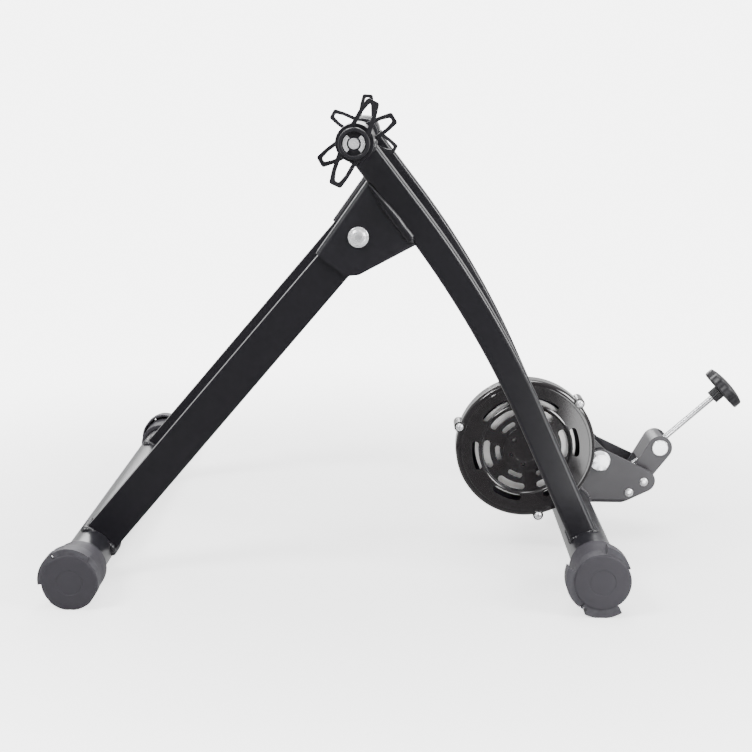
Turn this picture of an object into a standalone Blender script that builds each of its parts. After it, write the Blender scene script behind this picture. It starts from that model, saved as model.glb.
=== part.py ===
"""Magnetic bike trainer: a folding A-frame with axle clamps and a swinging roller unit.

Metres, +Z up. X runs along the bike (the roller unit is at +X), Y across it, and the left
side is -Y. The origin is on the floor under the middle of the whole object.
"""

import math

import bmesh
import bpy
from mathutils import Matrix, Vector

# Clearances
GAP = 0.0003
RUNNING = 0.0003
# How far a cutter passes a wall, and how far a joined shape stays inside its neighbour's face
THROUGH = 0.010
INSET = 0.0001
# A small broken edge, and how far in the middle point of a rounded corner lies
EDGE_BREAK = 0.001
CORNER_SHARE = 0.3

# Width of the stand, and the cutters that pass it or take everything on one side
OVERALL_WIDTH = 0.530
LEG_MIDDLE_Y = 0.162
RIGHT_ACROSS = 2 * OVERALL_WIDTH
FAR_SIDE = 0.2

# Tubes
CROSSBAR_RADIUS = 0.019
CROSSBAR_WALL = 0.0015
FRONT_LEG_WIDTH = 0.032
FRONT_LEG_DEPTH = 0.028
REAR_LEG_WIDTH = 0.025
LEG_WALL = 0.002
LEG_EDGE_RADIUS = 0.0035
COPE_SIDES = 40

# Side layout, measured from the fold pivot (X) and from the floor (Z). The crossbars' heights
# come from the parts of the foot caps' rims that they stand on.
PIVOT_HEIGHT = 0.3115
FRONT_REACH = 0.2403
REAR_REACH = 0.2104
AXLE_AHEAD = 0.0033
AXLE_ABOVE_PIVOT = 0.0810
BEND_X = 0.1128
BEND_BELOW_PIVOT = 0.0677
BEND_RADIUS = 0.900
BEND_STEPS = 8

# Foot caps
CAP_LENGTH = 0.043
CAP_WALL = 0.0044
CAP_SLEEVE_RADIUS = CROSSBAR_RADIUS + RUNNING + CAP_WALL
CAP_DISC_LIP = 0.0005
CAP_DISC_RADIUS = CAP_SLEEVE_RADIUS + CAP_DISC_LIP
CAP_DISC_THICKNESS = 0.003
CAP_RIM_DEPTH = 0.013
FRONT_FOOT_RISE = 0.0008
REAR_FOOT_RISE = 0.0078
FRONT_BAR_HEIGHT = CAP_SLEEVE_RADIUS + FRONT_FOOT_RISE
REAR_BAR_HEIGHT = CAP_SLEEVE_RADIUS + REAR_FOOT_RISE
CAP_RIM_STEP = 14
CAP_STEPS = 24
# The rim is flat on the floor between these angles in degrees, where its radius brings it down
FLAT_START = 261
FLAT_END = 279
FLAT_SLANT = math.cos(math.radians(FLAT_END - FLAT_START) / 2)
FRONT_FLOOR = FRONT_BAR_HEIGHT / FLAT_SLANT - CAP_SLEEVE_RADIUS
REAR_FLOOR = REAR_BAR_HEIGHT / FLAT_SLANT - CAP_SLEEVE_RADIUS
# Rim steps: first and last angle in degrees, and the height above the sleeve at each
FRONT_CAP_RIM = (
    (-46, 52, CAP_DISC_LIP, CAP_DISC_LIP),
    (52, 98, 0.0043, 0.0058),
    (98, 186, 0.0058, 0.0035),
    (186, 226, CAP_DISC_LIP, CAP_DISC_LIP),
    (226, FLAT_START, FRONT_FLOOR, FRONT_FLOOR),
    (FLAT_END, 314, FRONT_FLOOR, FRONT_FLOOR),
)
REAR_CAP_RIM = (
    (-57, 28, 0.0008, 0.0008),
    (28, 84, 0.0025, 0.0075),
    (84, 158, 0.0008, 0.0008),
    (158, 236, 0.0081, 0.0051),
    (236, 244, 0.0028, 0.0028),
    (244, FLAT_START, REAR_FLOOR, REAR_FLOOR),
    (FLAT_END, 303, REAR_FLOOR, REAR_FLOOR),
)

# Fold joint. The bracket takes the front leg and a washer on each side of it, and the rear leg
# is as deep as the bracket.
BRACKET_PLATE = 0.0025
WEB_LEAN = math.radians(5.14)
WEB_LOWER_ALONG = 0.0349
WEB_LENGTH = 0.0760
BRACKET_TOE = (-0.009, -0.0265)
BRACKET_SOLE = (-0.0015, -0.0257)
BRACKET_TOE_RADIUS = 0.0075
BRACKET_HEEL = (0.0499, -0.0062)
FOLD_BOLT_RADIUS = 0.005
FOLD_HEAD_RADIUS = 0.00875
FOLD_HEAD_HEIGHT = 0.005
FOLD_HEAD_DOME = ((0.55, 1), (0.85, 0.72), (1, 0.3), (1, 0))
FOLD_SOCKET_WIDTH = 0.006
FOLD_NUT_WIDTH = 0.017
FOLD_NUT_HEIGHT = 0.008
FOLD_WASHER_RADIUS = 0.0105
FOLD_WASHER_THICKNESS = 0.0009
FOLD_WASHER_SPACE = FOLD_WASHER_THICKNESS + 2 * GAP
REAR_LEG_DEPTH = FRONT_LEG_DEPTH + 2 * (FOLD_WASHER_SPACE + BRACKET_PLATE)
BOLT_PROUD = 0.0025

# Axle clamps, distances from the middle plane
BOSS_RADIUS = 0.0165
BOSS_INNER_Y = 0.133
BOSS_OUTER_Y = 0.200
SPINDLE_RADIUS = 0.008
SPINDLE_NECK_RADIUS = 0.0055
SPINDLE_END_RADIUS = 0.0047
SPINDLE_END_PROUD = 0.0015
CUP_MOUTH_Y = 0.072
CUP_BACK_Y = 0.096
CUP_MOUTH_RADIUS = 0.0155
CUP_BACK_RADIUS = 0.012
CUP_RECESS_RADIUS = 0.0125
CUP_RECESS_FLOOR_RADIUS = 0.0085
CUP_RECESS_DEPTH = 0.012
HANDLE_INNER_Y = 0.203
HANDLE_HUB_RADIUS = 0.0132
HANDLE_HUB_DEPTH = 0.016
HANDLE_RECESS_RADIUS = 0.0103
HANDLE_RECESS_DEPTH = 0.004
LOCK_NUT_HUB_RADIUS = 0.0158
LOCK_NUT_DEPTH = 0.0147
LOCK_NUT_CHAMFER = 0.0015
WING_HALF_SPAN = 0.0388
WING_ROOT_HALF_WIDTH = 0.0095
WING_MIDDLE_HALF_WIDTH = 0.0082
WING_TIP_HALF_WIDTH = 0.0052
WING_BAR = 0.0028
WING_CORNER = 0.0025
WING_ROOT_LENGTH = 0.0111
WING_WINDOW_START = 0.0106
WING_DEPTH = 0.006
HANDLE_ANGLES = {"left": 65.8, "right": 87.0}
LOCK_NUT_ANGLES = {"left": 31.0, "right": 151.0}

# Roller unit, side layout from the fold pivot (X) and the floor (Z). The roller lies in this
# direction from the rear crossbar, where the cover just clears it.
ROLLER_DIRECTION = math.radians(126.157)
COVER_CLEARANCE = 0.0029
YOKE_PIVOT_X = 0.2376
YOKE_PIVOT_HEIGHT = 0.0775
ROLLER_RADIUS = 0.015
ROLLER_LENGTH = 0.045
SHAFT_RADIUS = 0.004
SHAFT_FAR_END = 0.034
SHAFT_NEAR_END = 0.0865
BEARING_RADIUS = 0.011
BEARING_WIDTH = 0.007
YOKE_HALF_WIDTH = 0.0265
YOKE_PLATE = 0.003
YOKE_ROLLER_END_RADIUS = 0.017
YOKE_PIVOT_END_RADIUS = 0.011
YOKE_SHOULDER = (-0.0091, 0.0210)
YOKE_SHOULDER_RADIUS = 0.001
YOKE_WEB_SHARE = 0.47
YOKE_WEB_THICKNESS = 0.004
YOKE_WEB_HEIGHT = 0.024
TAIL_BAR_RADIUS = 0.004
TAIL_END_RADIUS = 0.006

# Magnet unit on the left end of the roller shaft
COVER_FACE_Y = 0.091
COVER_DEPTH = 0.022
COVER_RADIUS = 0.0664
COVER_WALL = 0.002
COVER_EDGE_RADIUS = 0.005
COVER_HUB_RADIUS = 0.0225
COVER_HUB_RISE = 0.0015
COVER_STEPS = 36
LUG_CIRCLE = COVER_RADIUS + 0.0002
LUG_RADIUS = 0.005
LUG_ANGLES = (-78.0, 42.0, 162.0)
VENT_PITCH = 60
# Rings of vents: distance in from the cover's edge, width, first angle and span in degrees
VENT_RINGS = ((0.0204, 0.0062, 9, 34), (0.0310, 0.0062, 9, 42), (0.0404, 0.0046, 9, 31))
VENT_STEPS = 2
COVER_SCREW_RADIUS = 0.002
COVER_SCREW_HEAD_RADIUS = 0.0035
COVER_SCREW_HEAD_HEIGHT = 0.0024
COVER_SCREW_DOME = ((0.7, 1), (1, 0.5), (1, 0))
COVER_SCREW_PROUD = 0.002
PAN_RADIUS = 0.052
PAN_FLANGE_RADIUS = COVER_RADIUS - EDGE_BREAK
PAN_WALL = 0.0015
PAN_FLANGE = 0.002
FLYWHEEL_RADIUS = 0.045
FLYWHEEL_THICKNESS = 0.017
FLYWHEEL_HUB_RADIUS = 0.012
FLYWHEEL_DISH = 0.005
FLYWHEEL_RIM = 0.012
ROTOR_RADIUS = 0.048
ROTOR_THICKNESS = 0.003
ROTOR_HUB_RADIUS = 0.014
ROTOR_BEHIND_FACE = 0.009
CARRIER_INNER_RADIUS = 0.020
CARRIER_IN_COVER = 0.003
CARRIER_OUTER_RADIUS = COVER_RADIUS - COVER_WALL - CARRIER_IN_COVER
CARRIER_THICKNESS = 0.0027
MAGNET_INNER_RADIUS = 0.028
MAGNET_OUTER_RADIUS = 0.044
MAGNET_THICKNESS = 0.0055
SHAFT_NUT_WIDTH = 0.013
SHAFT_NUT_HEIGHT = 0.0035

# Bracket that carries the roller unit on the rear crossbar
BRACKET_HALF_WIDTH = 0.030
BRACKET_WALL = 0.003
BRACKET_PIVOT_RADIUS = 0.0115
BRACKET_END = (0.2819, 0.0570)
BRACKET_END_RADIUS = 0.0114
BRACKET_BOTTOM_FRONT_X = 0.2240
BRACKET_BOTTOM_REAR_X = 0.2601
BRACKET_BOTTOM_HEIGHT = 0.0335
BRACKET_HEEL_ON_BAR = (0.2150, 0.0460)
YOKE_BOLT_RADIUS = 0.005
YOKE_HEAD_WIDTH = 0.016
YOKE_HEAD_HEIGHT = 0.0065
YOKE_WASHER_RADIUS = 0.010
YOKE_WASHER_THICKNESS = 0.0016

# Adjuster
EAR_X = 0.2987
EAR_HEIGHT = 0.0880
EAR_HALF_WIDTH = 0.018
EAR_PLATE = 0.003
EAR_WEB_END = math.radians(78)
EAR_WEB_LENGTH = 0.021
PIN_UPPER = (0.2819, 0.0560)
PIN_LOWER = (0.2677, 0.0449)
PIN_RADIUS = 0.003
PIN_HEAD_RADIUS = 0.0042
PIN_HEAD_HEIGHT = 0.0018
PIN_HEAD_DOME = ((0.7, 1), (1, 0.4), (1, 0))
PIN_LAND = 0.0033
BARREL_RADIUS = 0.008
BARREL_PROUD = 0.0012
EAR_ROUND_BARREL = 0.0042
EAR_RADIUS = BARREL_RADIUS + EAR_ROUND_BARREL
ROD_ANGLE = math.radians(42.5)
ROD_RADIUS = 0.003
ROD_HOLE_CLEARANCE = 0.0015
TIP_FROM_BARREL = 0.052
TIP_RADIUS = 0.0045
TIP_LENGTH = 0.008
TIP_SOCKET = 0.005
KNOB_FROM_BARREL = 0.0816
KNOB_HUB_RADIUS = 0.00675
KNOB_HUB_LENGTH = 0.010
KNOB_RADIUS = 0.02275
KNOB_RIM = 0.0085
KNOB_DOME = 0.0035
KNOB_DOME_CURVE = ((0.55, 0.72), (0.93, 0))
KNOB_EDGE = 0.0015
KNOB_SOCKET = 0.006

SIDES = (("left", -1), ("right", 1))
EMPTY_SIZE = 0.02

# The origin is half way between the front cap's rim and the knob's edge
KNOB_REACH = (
    EAR_X
    + (KNOB_FROM_BARREL + KNOB_RIM) * math.cos(ROD_ANGLE)
    + KNOB_RADIUS * math.sin(ROD_ANGLE)
)
CAP_REACH = -FRONT_REACH - CAP_SLEEVE_RADIUS - FRONT_CAP_RIM[2][3]
ORIGIN_X = (KNOB_REACH + CAP_REACH) / 2


def side_point(x, z):
    """A point of the side view, as a 2D vector of X and Z from the object's origin."""
    return Vector((x - ORIGIN_X, z))


PIVOT = side_point(0, PIVOT_HEIGHT)
AXLE = side_point(-AXLE_AHEAD, PIVOT_HEIGHT + AXLE_ABOVE_PIVOT)
BEND = side_point(BEND_X, PIVOT_HEIGHT - BEND_BELOW_PIVOT)
FRONT_BAR = side_point(-FRONT_REACH, FRONT_BAR_HEIGHT)
REAR_BAR = side_point(REAR_REACH, REAR_BAR_HEIGHT)
ROLLER_WAY = Vector((math.cos(ROLLER_DIRECTION), math.sin(ROLLER_DIRECTION)))
ROLLER = REAR_BAR + ROLLER_WAY * (CROSSBAR_RADIUS + COVER_CLEARANCE + COVER_RADIUS)
YOKE_PIVOT = side_point(YOKE_PIVOT_X, YOKE_PIVOT_HEIGHT)
EAR = side_point(EAR_X, EAR_HEIGHT)
ROD = Vector((math.cos(ROD_ANGLE), math.sin(ROD_ANGLE)))
TIP_FACE = EAR - ROD * TIP_FROM_BARREL
TAIL = TIP_FACE - ROD * (GAP + TAIL_BAR_RADIUS)


def clear_scene():
    """Empties the scene."""
    for obj in list(bpy.data.objects):
        bpy.data.objects.remove(obj, do_unlink=True)


def new_collection(name):
    """A new collection in the scene."""
    collection = bpy.data.collections.new(name)
    bpy.context.scene.collection.children.link(collection)
    return collection


clear_scene()
PARTS = new_collection("magnetic_bike_trainer")
CUTTERS = new_collection("cutters")


def new_material(name, colour, roughness, metallic):
    """A plain Principled material."""
    material = bpy.data.materials.new(name)
    material.use_nodes = True
    shader = material.node_tree.nodes["Principled BSDF"]
    shader.inputs["Base Color"].default_value = (*colour, 1)
    shader.inputs["Roughness"].default_value = roughness
    shader.inputs["Metallic"].default_value = metallic
    return material


BLACK_PAINT = new_material("black_paint", (0.018, 0.018, 0.020), 0.35, 0.0)
BLACK_GLOSS = new_material("black_gloss", (0.014, 0.014, 0.015), 0.18, 0.0)
GREY_PLASTIC = new_material("grey_plastic", (0.055, 0.056, 0.058), 0.55, 0.0)
ZINC = new_material("zinc", (0.70, 0.71, 0.72), 0.28, 1.0)
ALUMINIUM = new_material("aluminium", (0.80, 0.80, 0.81), 0.30, 1.0)
BRUSHED_STEEL = new_material("brushed_steel", (0.52, 0.52, 0.53), 0.35, 1.0)
IRON = new_material("iron", (0.10, 0.10, 0.11), 0.55, 1.0)
FERRITE = new_material("ferrite", (0.035, 0.035, 0.037), 0.60, 0.0)


def new_empty(name, point, y=0.0):
    """An empty on a joint's axis, at a side view point and a distance across."""
    empty = bpy.data.objects.new(name, None)
    empty.location = (point.x, y, point.y)
    empty.empty_display_size = EMPTY_SIZE
    PARTS.objects.link(empty)
    return empty


def put(obj, name, material, parent=None):
    """Names, dresses and files a piece whose location is in world coordinates."""
    obj.name = name
    obj.data.name = name
    obj.data.materials.clear()
    obj.data.materials.append(material)
    if parent:
        obj.location -= parent.location
        obj.parent = parent
    PARTS.objects.link(obj)
    obj.data.shade_smooth()
    obj.data.set_sharp_from_angle(angle=math.radians(32))
    return obj


def from_bmesh(work):
    """An unlinked object that holds a finished bmesh."""
    mesh = bpy.data.meshes.new("mesh")
    bmesh.ops.recalc_face_normals(work, faces=work.faces)
    work.to_mesh(mesh)
    work.free()
    return bpy.data.objects.new("object", mesh)


def arc(centre, radius, start, end, steps):
    """Points of an arc between two angles in radians."""
    turn = (end - start) / steps
    return [
        Vector(centre) + radius * Vector((math.cos(start + k * turn), math.sin(start + k * turn)))
        for k in range(steps + 1)
    ]


def hull(circles, steps=16):
    """The convex outline round a set of (centre, radius) circles, anticlockwise."""
    points = []
    for centre, radius in circles:
        if radius:
            points += arc(centre, radius, 0, math.tau, steps)
        else:
            points.append(Vector(centre))
    points = sorted({(round(p.x, 6), round(p.y, 6)) for p in points})

    def half(ordered):
        chain = []
        for point in ordered:
            while len(chain) > 1:
                (ax, ay), (bx, by) = chain[-2:]
                if (bx - ax) * (point[1] - ay) - (by - ay) * (point[0] - ax) > 1e-10:
                    break
                chain.pop()
            chain.append(point)
        return chain[:-1]

    return [Vector(p) for p in half(points) + half(points[::-1])]


def flat(outlines, depth, y=0.0, origin=(0, 0)):
    """A plate in the side view: a filled 2D curve with holes, made a mesh.

    The first outline is the edge and the others are holes. The object's origin is at the
    side view point origin, at the distance y across.
    """
    curve = bpy.data.curves.new("outline", "CURVE")
    curve.dimensions = "2D"
    curve.fill_mode = "BOTH"
    curve.extrude = depth / 2
    for outline in outlines:
        spline = curve.splines.new("POLY")
        spline.points.add(len(outline) - 1)
        for point, place in zip(spline.points, outline):
            point.co = (place[0] - origin[0], place[1] - origin[1], 0, 1)
        spline.use_cyclic_u = True
    guide = bpy.data.objects.new("guide", curve)
    CUTTERS.objects.link(guide)
    graph = bpy.context.evaluated_depsgraph_get()
    mesh = bpy.data.meshes.new_from_object(guide.evaluated_get(graph))
    bpy.data.objects.remove(guide)
    work = bmesh.new()
    work.from_mesh(mesh)
    bpy.data.meshes.remove(mesh)
    bmesh.ops.remove_doubles(work, verts=work.verts, dist=1e-6)
    bmesh.ops.dissolve_limit(work, angle_limit=1e-4, verts=work.verts, edges=work.edges)
    work.transform(Matrix.Rotation(math.pi / 2, 4, "X"))
    obj = from_bmesh(work)
    obj.location = (origin[0], y, origin[1])
    return obj


def turned(profile, point, y, side=1, steps=16, ring=False):
    """A turned piece on an axis across the object.

    The profile holds (radius, distance outwards) pairs, down its outer side from its outer
    end. A ring's profile closes on itself, and another starts and ends on the axis.
    """
    mesh = bpy.data.meshes.new("profile")
    edges = [(k, k + 1) for k in range(len(profile) - 1)]
    if ring:
        edges.append((len(profile) - 1, 0))
    mesh.from_pydata([(radius, 0, height) for radius, height in profile], edges, [])
    obj = bpy.data.objects.new("turned", mesh)
    obj.location = (point[0], y, point[1])
    obj.rotation_euler = (-side * math.pi / 2, 0, 0)
    screw = obj.modifiers.new("turn", "SCREW")
    screw.axis = "Z"
    screw.steps = steps
    screw.render_steps = steps
    screw.use_merge_vertices = True
    screw.merge_threshold = 1e-5
    screw.use_smooth_shade = False
    return obj


def tube(outer, inner, length):
    """Ring profile of a plain tube or washer that starts at its origin."""
    return [(outer, length), (outer, 0), (inner, 0), (inner, length)]


def rod(radius, length):
    """Profile of a plain rod that starts at its origin."""
    return [(0, length), (radius, length), (radius, 0), (0, 0)]


def head(radius, height, dome):
    """Profile of a fastener's domed head, from its top to its seat."""
    return [(0, height)] + [(radius * across, height * up) for across, up in dome]


def prism(sides, radius, depth, point, y, turn=0.0):
    """A cylinder or regular prism whose axis runs across, centred on y."""
    work = bmesh.new()
    bmesh.ops.create_cone(
        work, cap_ends=True, segments=sides, radius1=radius, radius2=radius, depth=depth
    )
    work.transform(Matrix.Rotation(turn, 4, "Z"))
    work.transform(Matrix.Rotation(math.pi / 2, 4, "X"))
    obj = from_bmesh(work)
    obj.location = (point[0], y, point[1])
    return obj


def helper(obj, name):
    """Files a shape that only cuts or joins another."""
    obj.name = name
    obj.hide_render = True
    obj.display_type = "WIRE"
    CUTTERS.objects.link(obj)
    return obj


def combine(obj, other, operation):
    """Adds a Boolean of another shape to a piece."""
    modifier = obj.modifiers.new(other.name, "BOOLEAN")
    modifier.operation = operation
    modifier.solver = "EXACT"
    modifier.object = helper(other, other.name) if other.name not in CUTTERS.objects else other
    return obj


def cut(obj, other):
    """Takes another shape out of a piece."""
    return combine(obj, other, "DIFFERENCE")


def join(obj, other):
    """Makes another shape part of a piece."""
    return combine(obj, other, "UNION")


def drill(obj, point, radius, sides=16):
    """A hole right across a piece."""
    return cut(obj, prism(sides, radius, RIGHT_ACROSS, point, 0))


def round_edges(obj, width, segments=2):
    """Rounds a piece's sharp edges."""
    bevel = obj.modifiers.new("round_edges", "BEVEL")
    bevel.width = width
    bevel.segments = segments
    bevel.limit_method = "ANGLE"
    bevel.angle_limit = math.radians(50)
    return obj


def leg_line(start, corner, end, radius, steps):
    """Points and directions along a leg with one bend."""
    before = (corner - start).normalized()
    after = (end - corner).normalized()
    bend = before.angle_signed(after)
    reach = radius * math.tan(abs(bend) / 2)
    first = corner - before * reach
    side = -1 if bend > 0 else 1
    centre = first + side * radius * Vector((-before.y, before.x))
    line = [(start, before)]
    for k in range(steps + 1):
        turn = Matrix.Rotation(-bend * k / steps, 2)
        line.append((centre + turn @ (first - centre), turn @ before))
    return [*line, (end, after)]


def band(line, half_width):
    """The outline of a band of even width along a line."""
    left = [point + half_width * Vector((-way.y, way.x)) for point, way in line]
    right = [point - half_width * Vector((-way.y, way.x)) for point, way in line]
    return left + right[::-1]


def longer(line):
    """A line whose two ends are moved outwards, so that a cutter passes them."""
    (start, first_way), *middle, (end, last_way) = line
    before = (start - first_way * THROUGH, first_way)
    return [before, *middle, (end + last_way * THROUGH, last_way)]


def box_tube(line, width, depth, y, origin, round_end=None):
    """A rectangular tube along a line of the side view, open at its ends."""
    outer = band(line, width / 2)
    inner = band(longer(line), width / 2 - LEG_WALL)
    if round_end:
        outer = round_end(outer, width / 2)
        inner = round_end(inner, width / 2 - LEG_WALL)
    obj = round_edges(flat([outer], depth, y, origin), LEG_EDGE_RADIUS)
    return cut(obj, flat([inner], depth - 2 * LEG_WALL, y))


REAR_LEG_LINE = leg_line(AXLE, BEND, REAR_BAR, BEND_RADIUS, BEND_STEPS)
UP_FRONT_LEG = (PIVOT - FRONT_BAR).normalized()
FRONT_LEG_START = FRONT_BAR + UP_FRONT_LEG * CROSSBAR_RADIUS / 2


def crossbar(name, point, parent=None):
    """A round tube across the stand, closed by the foot caps."""
    half = OVERALL_WIDTH / 2 - CAP_DISC_THICKNESS - GAP
    profile = tube(CROSSBAR_RADIUS, CROSSBAR_RADIUS - CROSSBAR_WALL, 2 * half)
    return put(turned(profile, point, -half, steps=32, ring=True), name, BLACK_PAINT, parent)


def front_leg(name, sign, parent):
    """A straight leg, round at the fold pivot and coped onto the front crossbar."""

    def round_end(outline, radius):
        top = math.atan2(UP_FRONT_LEG.y, UP_FRONT_LEG.x)
        start, end = outline[0], outline[-1]
        return [start, *arc(PIVOT, radius, top + math.pi / 2, top - math.pi / 2, 10), end]

    line = [(FRONT_LEG_START, UP_FRONT_LEG), (PIVOT, UP_FRONT_LEG)]
    y = sign * LEG_MIDDLE_Y
    leg = box_tube(line, FRONT_LEG_WIDTH, FRONT_LEG_DEPTH, y, PIVOT, round_end)
    drill(leg, PIVOT, FOLD_BOLT_RADIUS + RUNNING)
    cut(leg, prism(COPE_SIDES, CROSSBAR_RADIUS + GAP, RIGHT_ACROSS, FRONT_BAR, 0))
    return put(leg, name, BLACK_PAINT, parent)


def rear_leg(name, sign):
    """A curved leg, coped onto the axle boss and the rear crossbar."""
    leg = box_tube(REAR_LEG_LINE, REAR_LEG_WIDTH, REAR_LEG_DEPTH, sign * LEG_MIDDLE_Y, AXLE)
    cut(leg, prism(COPE_SIDES, BOSS_RADIUS + GAP, RIGHT_ACROSS, AXLE, 0))
    cut(leg, prism(COPE_SIDES, CROSSBAR_RADIUS + GAP, RIGHT_ACROSS, REAR_BAR, 0))
    return put(leg, name, BLACK_PAINT)


def fold_bracket(name, sign):
    """The channel on the rear leg that holds the front leg, with a web that stops it."""
    leg_side = Vector((-UP_FRONT_LEG.y, UP_FRONT_LEG.x))
    stop = FRONT_LEG_WIDTH / 2 + GAP + BRACKET_PLATE
    web_low = PIVOT - UP_FRONT_LEG * WEB_LOWER_ALONG + leg_side * stop
    web_way = Matrix.Rotation(WEB_LEAN, 2) @ UP_FRONT_LEG
    web_in = Vector((web_way.y, -web_way.x))
    web_top = web_low + web_way * WEB_LENGTH
    start, way = REAR_LEG_LINE[0]
    into_leg = Vector((-way.y, way.x)) * REAR_LEG_WIDTH / 2
    feet = [(PIVOT + Vector(foot), BRACKET_TOE_RADIUS) for foot in (BRACKET_TOE, BRACKET_SOLE)]
    heel = PIVOT + Vector(BRACKET_HEEL)
    corners = [web_low, web_top, heel, heel + into_leg, web_top + into_leg]
    outline = hull(feet + [(corner, 0) for corner in corners])
    y = sign * LEG_MIDDLE_Y
    obj = flat([outline], REAR_LEG_DEPTH, y, PIVOT)
    round_edges(obj, EDGE_BREAK)
    far = web_in * FAR_SIDE
    inner_low = web_low - web_way * THROUGH + web_in * BRACKET_PLATE
    inner_top = web_top + web_way * 2 * THROUGH + web_in * BRACKET_PLATE
    inner = [inner_low, inner_low + far, inner_top + far, inner_top]
    cut(obj, flat([inner], REAR_LEG_DEPTH - 2 * BRACKET_PLATE, y))
    cut(obj, flat([band(REAR_LEG_LINE, REAR_LEG_WIDTH / 2 + GAP)], 2 * REAR_LEG_DEPTH, y))
    drill(obj, PIVOT, FOLD_BOLT_RADIUS + RUNNING)
    return put(obj, name, BLACK_PAINT)


def fold_hardware(side, sign):
    """The fold bolt with its nut and the washers on each side of the front leg."""
    outer_y = LEG_MIDDLE_Y + REAR_LEG_DEPTH / 2 + GAP
    inner_y = LEG_MIDDLE_Y - REAR_LEG_DEPTH / 2 - GAP
    nut_end = inner_y - FOLD_NUT_HEIGHT
    length = outer_y - nut_end + BOLT_PROUD
    profile = head(FOLD_HEAD_RADIUS, FOLD_HEAD_HEIGHT, FOLD_HEAD_DOME)
    profile += [(FOLD_BOLT_RADIUS, 0), (FOLD_BOLT_RADIUS, -length), (0, -length)]
    bolt = turned(profile, PIVOT, sign * outer_y, sign)
    socket_y = sign * (outer_y + FOLD_HEAD_HEIGHT)
    socket = prism(6, FOLD_SOCKET_WIDTH / math.sqrt(3), FOLD_HEAD_HEIGHT, PIVOT, socket_y)
    put(cut(bolt, socket), f"fold_bolt_{side}", ZINC)
    nut_radius = FOLD_NUT_WIDTH / math.sqrt(3)
    nut = prism(6, nut_radius, FOLD_NUT_HEIGHT, PIVOT, sign * (inner_y - FOLD_NUT_HEIGHT / 2))
    drill(nut, PIVOT, FOLD_BOLT_RADIUS + GAP)
    put(nut, f"fold_nut_{side}", ZINC)
    profile = tube(FOLD_WASHER_RADIUS, FOLD_BOLT_RADIUS + GAP, FOLD_WASHER_THICKNESS)
    for place, way in (("outer", 1), ("inner", -1)):
        middle = LEG_MIDDLE_Y + way * (FRONT_LEG_DEPTH + FOLD_WASHER_SPACE) / 2
        start = sign * (middle - FOLD_WASHER_THICKNESS / 2)
        washer = turned(profile, PIVOT, start, sign, ring=True)
        put(washer, f"fold_washer_{place}_{side}", ZINC)


def cap_outline(point, rim):
    """The stepped rim of a foot cap, flat where it stands on the floor."""
    outline = []
    for start, end, first, last in rim:
        steps = max(1, round((end - start) / CAP_RIM_STEP))
        for k in range(steps + 1):
            turn = math.radians(start + (end - start) * k / steps)
            radius = CAP_SLEEVE_RADIUS + first + (last - first) * k / steps
            outline.append(point + radius * Vector((math.cos(turn), math.sin(turn))))
    return outline


def foot_cap(name, point, rim, sign):
    """A plastic cap that turns on the crossbar's end, with a stepped rim to level the stand."""
    axis = new_empty(f"{name}_axis", point, sign * OVERALL_WIDTH / 2)
    bore = CROSSBAR_RADIUS + RUNNING
    inner = OVERALL_WIDTH / 2 - CAP_LENGTH
    face = CAP_LENGTH
    back = CAP_LENGTH - CAP_DISC_THICKNESS
    profile = [
        (0, face),
        (CAP_DISC_RADIUS, face),
        (CAP_DISC_RADIUS, back),
        (CAP_SLEEVE_RADIUS, back),
        (CAP_SLEEVE_RADIUS, 0),
        (bore, 0),
        (bore, back),
        (0, back),
    ]
    cap = turned(profile, point, sign * inner, sign, steps=CAP_STEPS)
    rim_y = sign * (OVERALL_WIDTH / 2 - CAP_DISC_THICKNESS / 2 - CAP_RIM_DEPTH / 2)
    plate = flat([cap_outline(point, rim)], CAP_RIM_DEPTH, rim_y)
    drill(plate, point, (CAP_SLEEVE_RADIUS + bore) / 2)
    return put(join(cap, plate), name, GREY_PLASTIC, axis)


def axle_boss(name, sign):
    """The tube at the top of a rear leg, threaded for the spindle."""
    profile = tube(BOSS_RADIUS, SPINDLE_RADIUS + RUNNING, BOSS_OUTER_Y - BOSS_INNER_Y)
    boss = turned(profile, AXLE, sign * BOSS_INNER_Y, sign, steps=28, ring=True)
    return put(boss, name, BLACK_PAINT)


def axle_cup(name, sign, parent):
    """The cone cup that takes the end of the wheel's axle."""
    length = CUP_BACK_Y - CUP_MOUTH_Y
    hole = SPINDLE_NECK_RADIUS + RUNNING
    profile = [
        (CUP_BACK_RADIUS, length),
        (CUP_MOUTH_RADIUS, length / 3),
        (CUP_MOUTH_RADIUS, 0),
        (CUP_RECESS_RADIUS, 0),
        (CUP_RECESS_FLOOR_RADIUS, CUP_RECESS_DEPTH),
        (hole, CUP_RECESS_DEPTH),
        (hole, length),
    ]
    cup = turned(profile, AXLE, sign * CUP_MOUTH_Y, sign, steps=20, ring=True)
    return put(cup, name, BLACK_PAINT, parent)


def axle_spindle(name, sign, parent):
    """The threaded spindle between the handle and the cup."""
    start = CUP_MOUTH_Y + CUP_RECESS_DEPTH + GAP
    shoulder = CUP_BACK_Y + GAP - start
    hub = HANDLE_INNER_Y - GAP - start
    end = HANDLE_INNER_Y + HANDLE_HUB_DEPTH - HANDLE_RECESS_DEPTH + SPINDLE_END_PROUD - start
    profile = [
        (0, end),
        (SPINDLE_END_RADIUS, end),
        (SPINDLE_END_RADIUS, hub),
        (SPINDLE_RADIUS, hub),
        (SPINDLE_RADIUS, shoulder),
        (SPINDLE_NECK_RADIUS, shoulder),
        (SPINDLE_NECK_RADIUS, 0),
        (0, 0),
    ]
    return put(turned(profile, AXLE, sign * start, sign), name, ZINC, parent)


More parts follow.
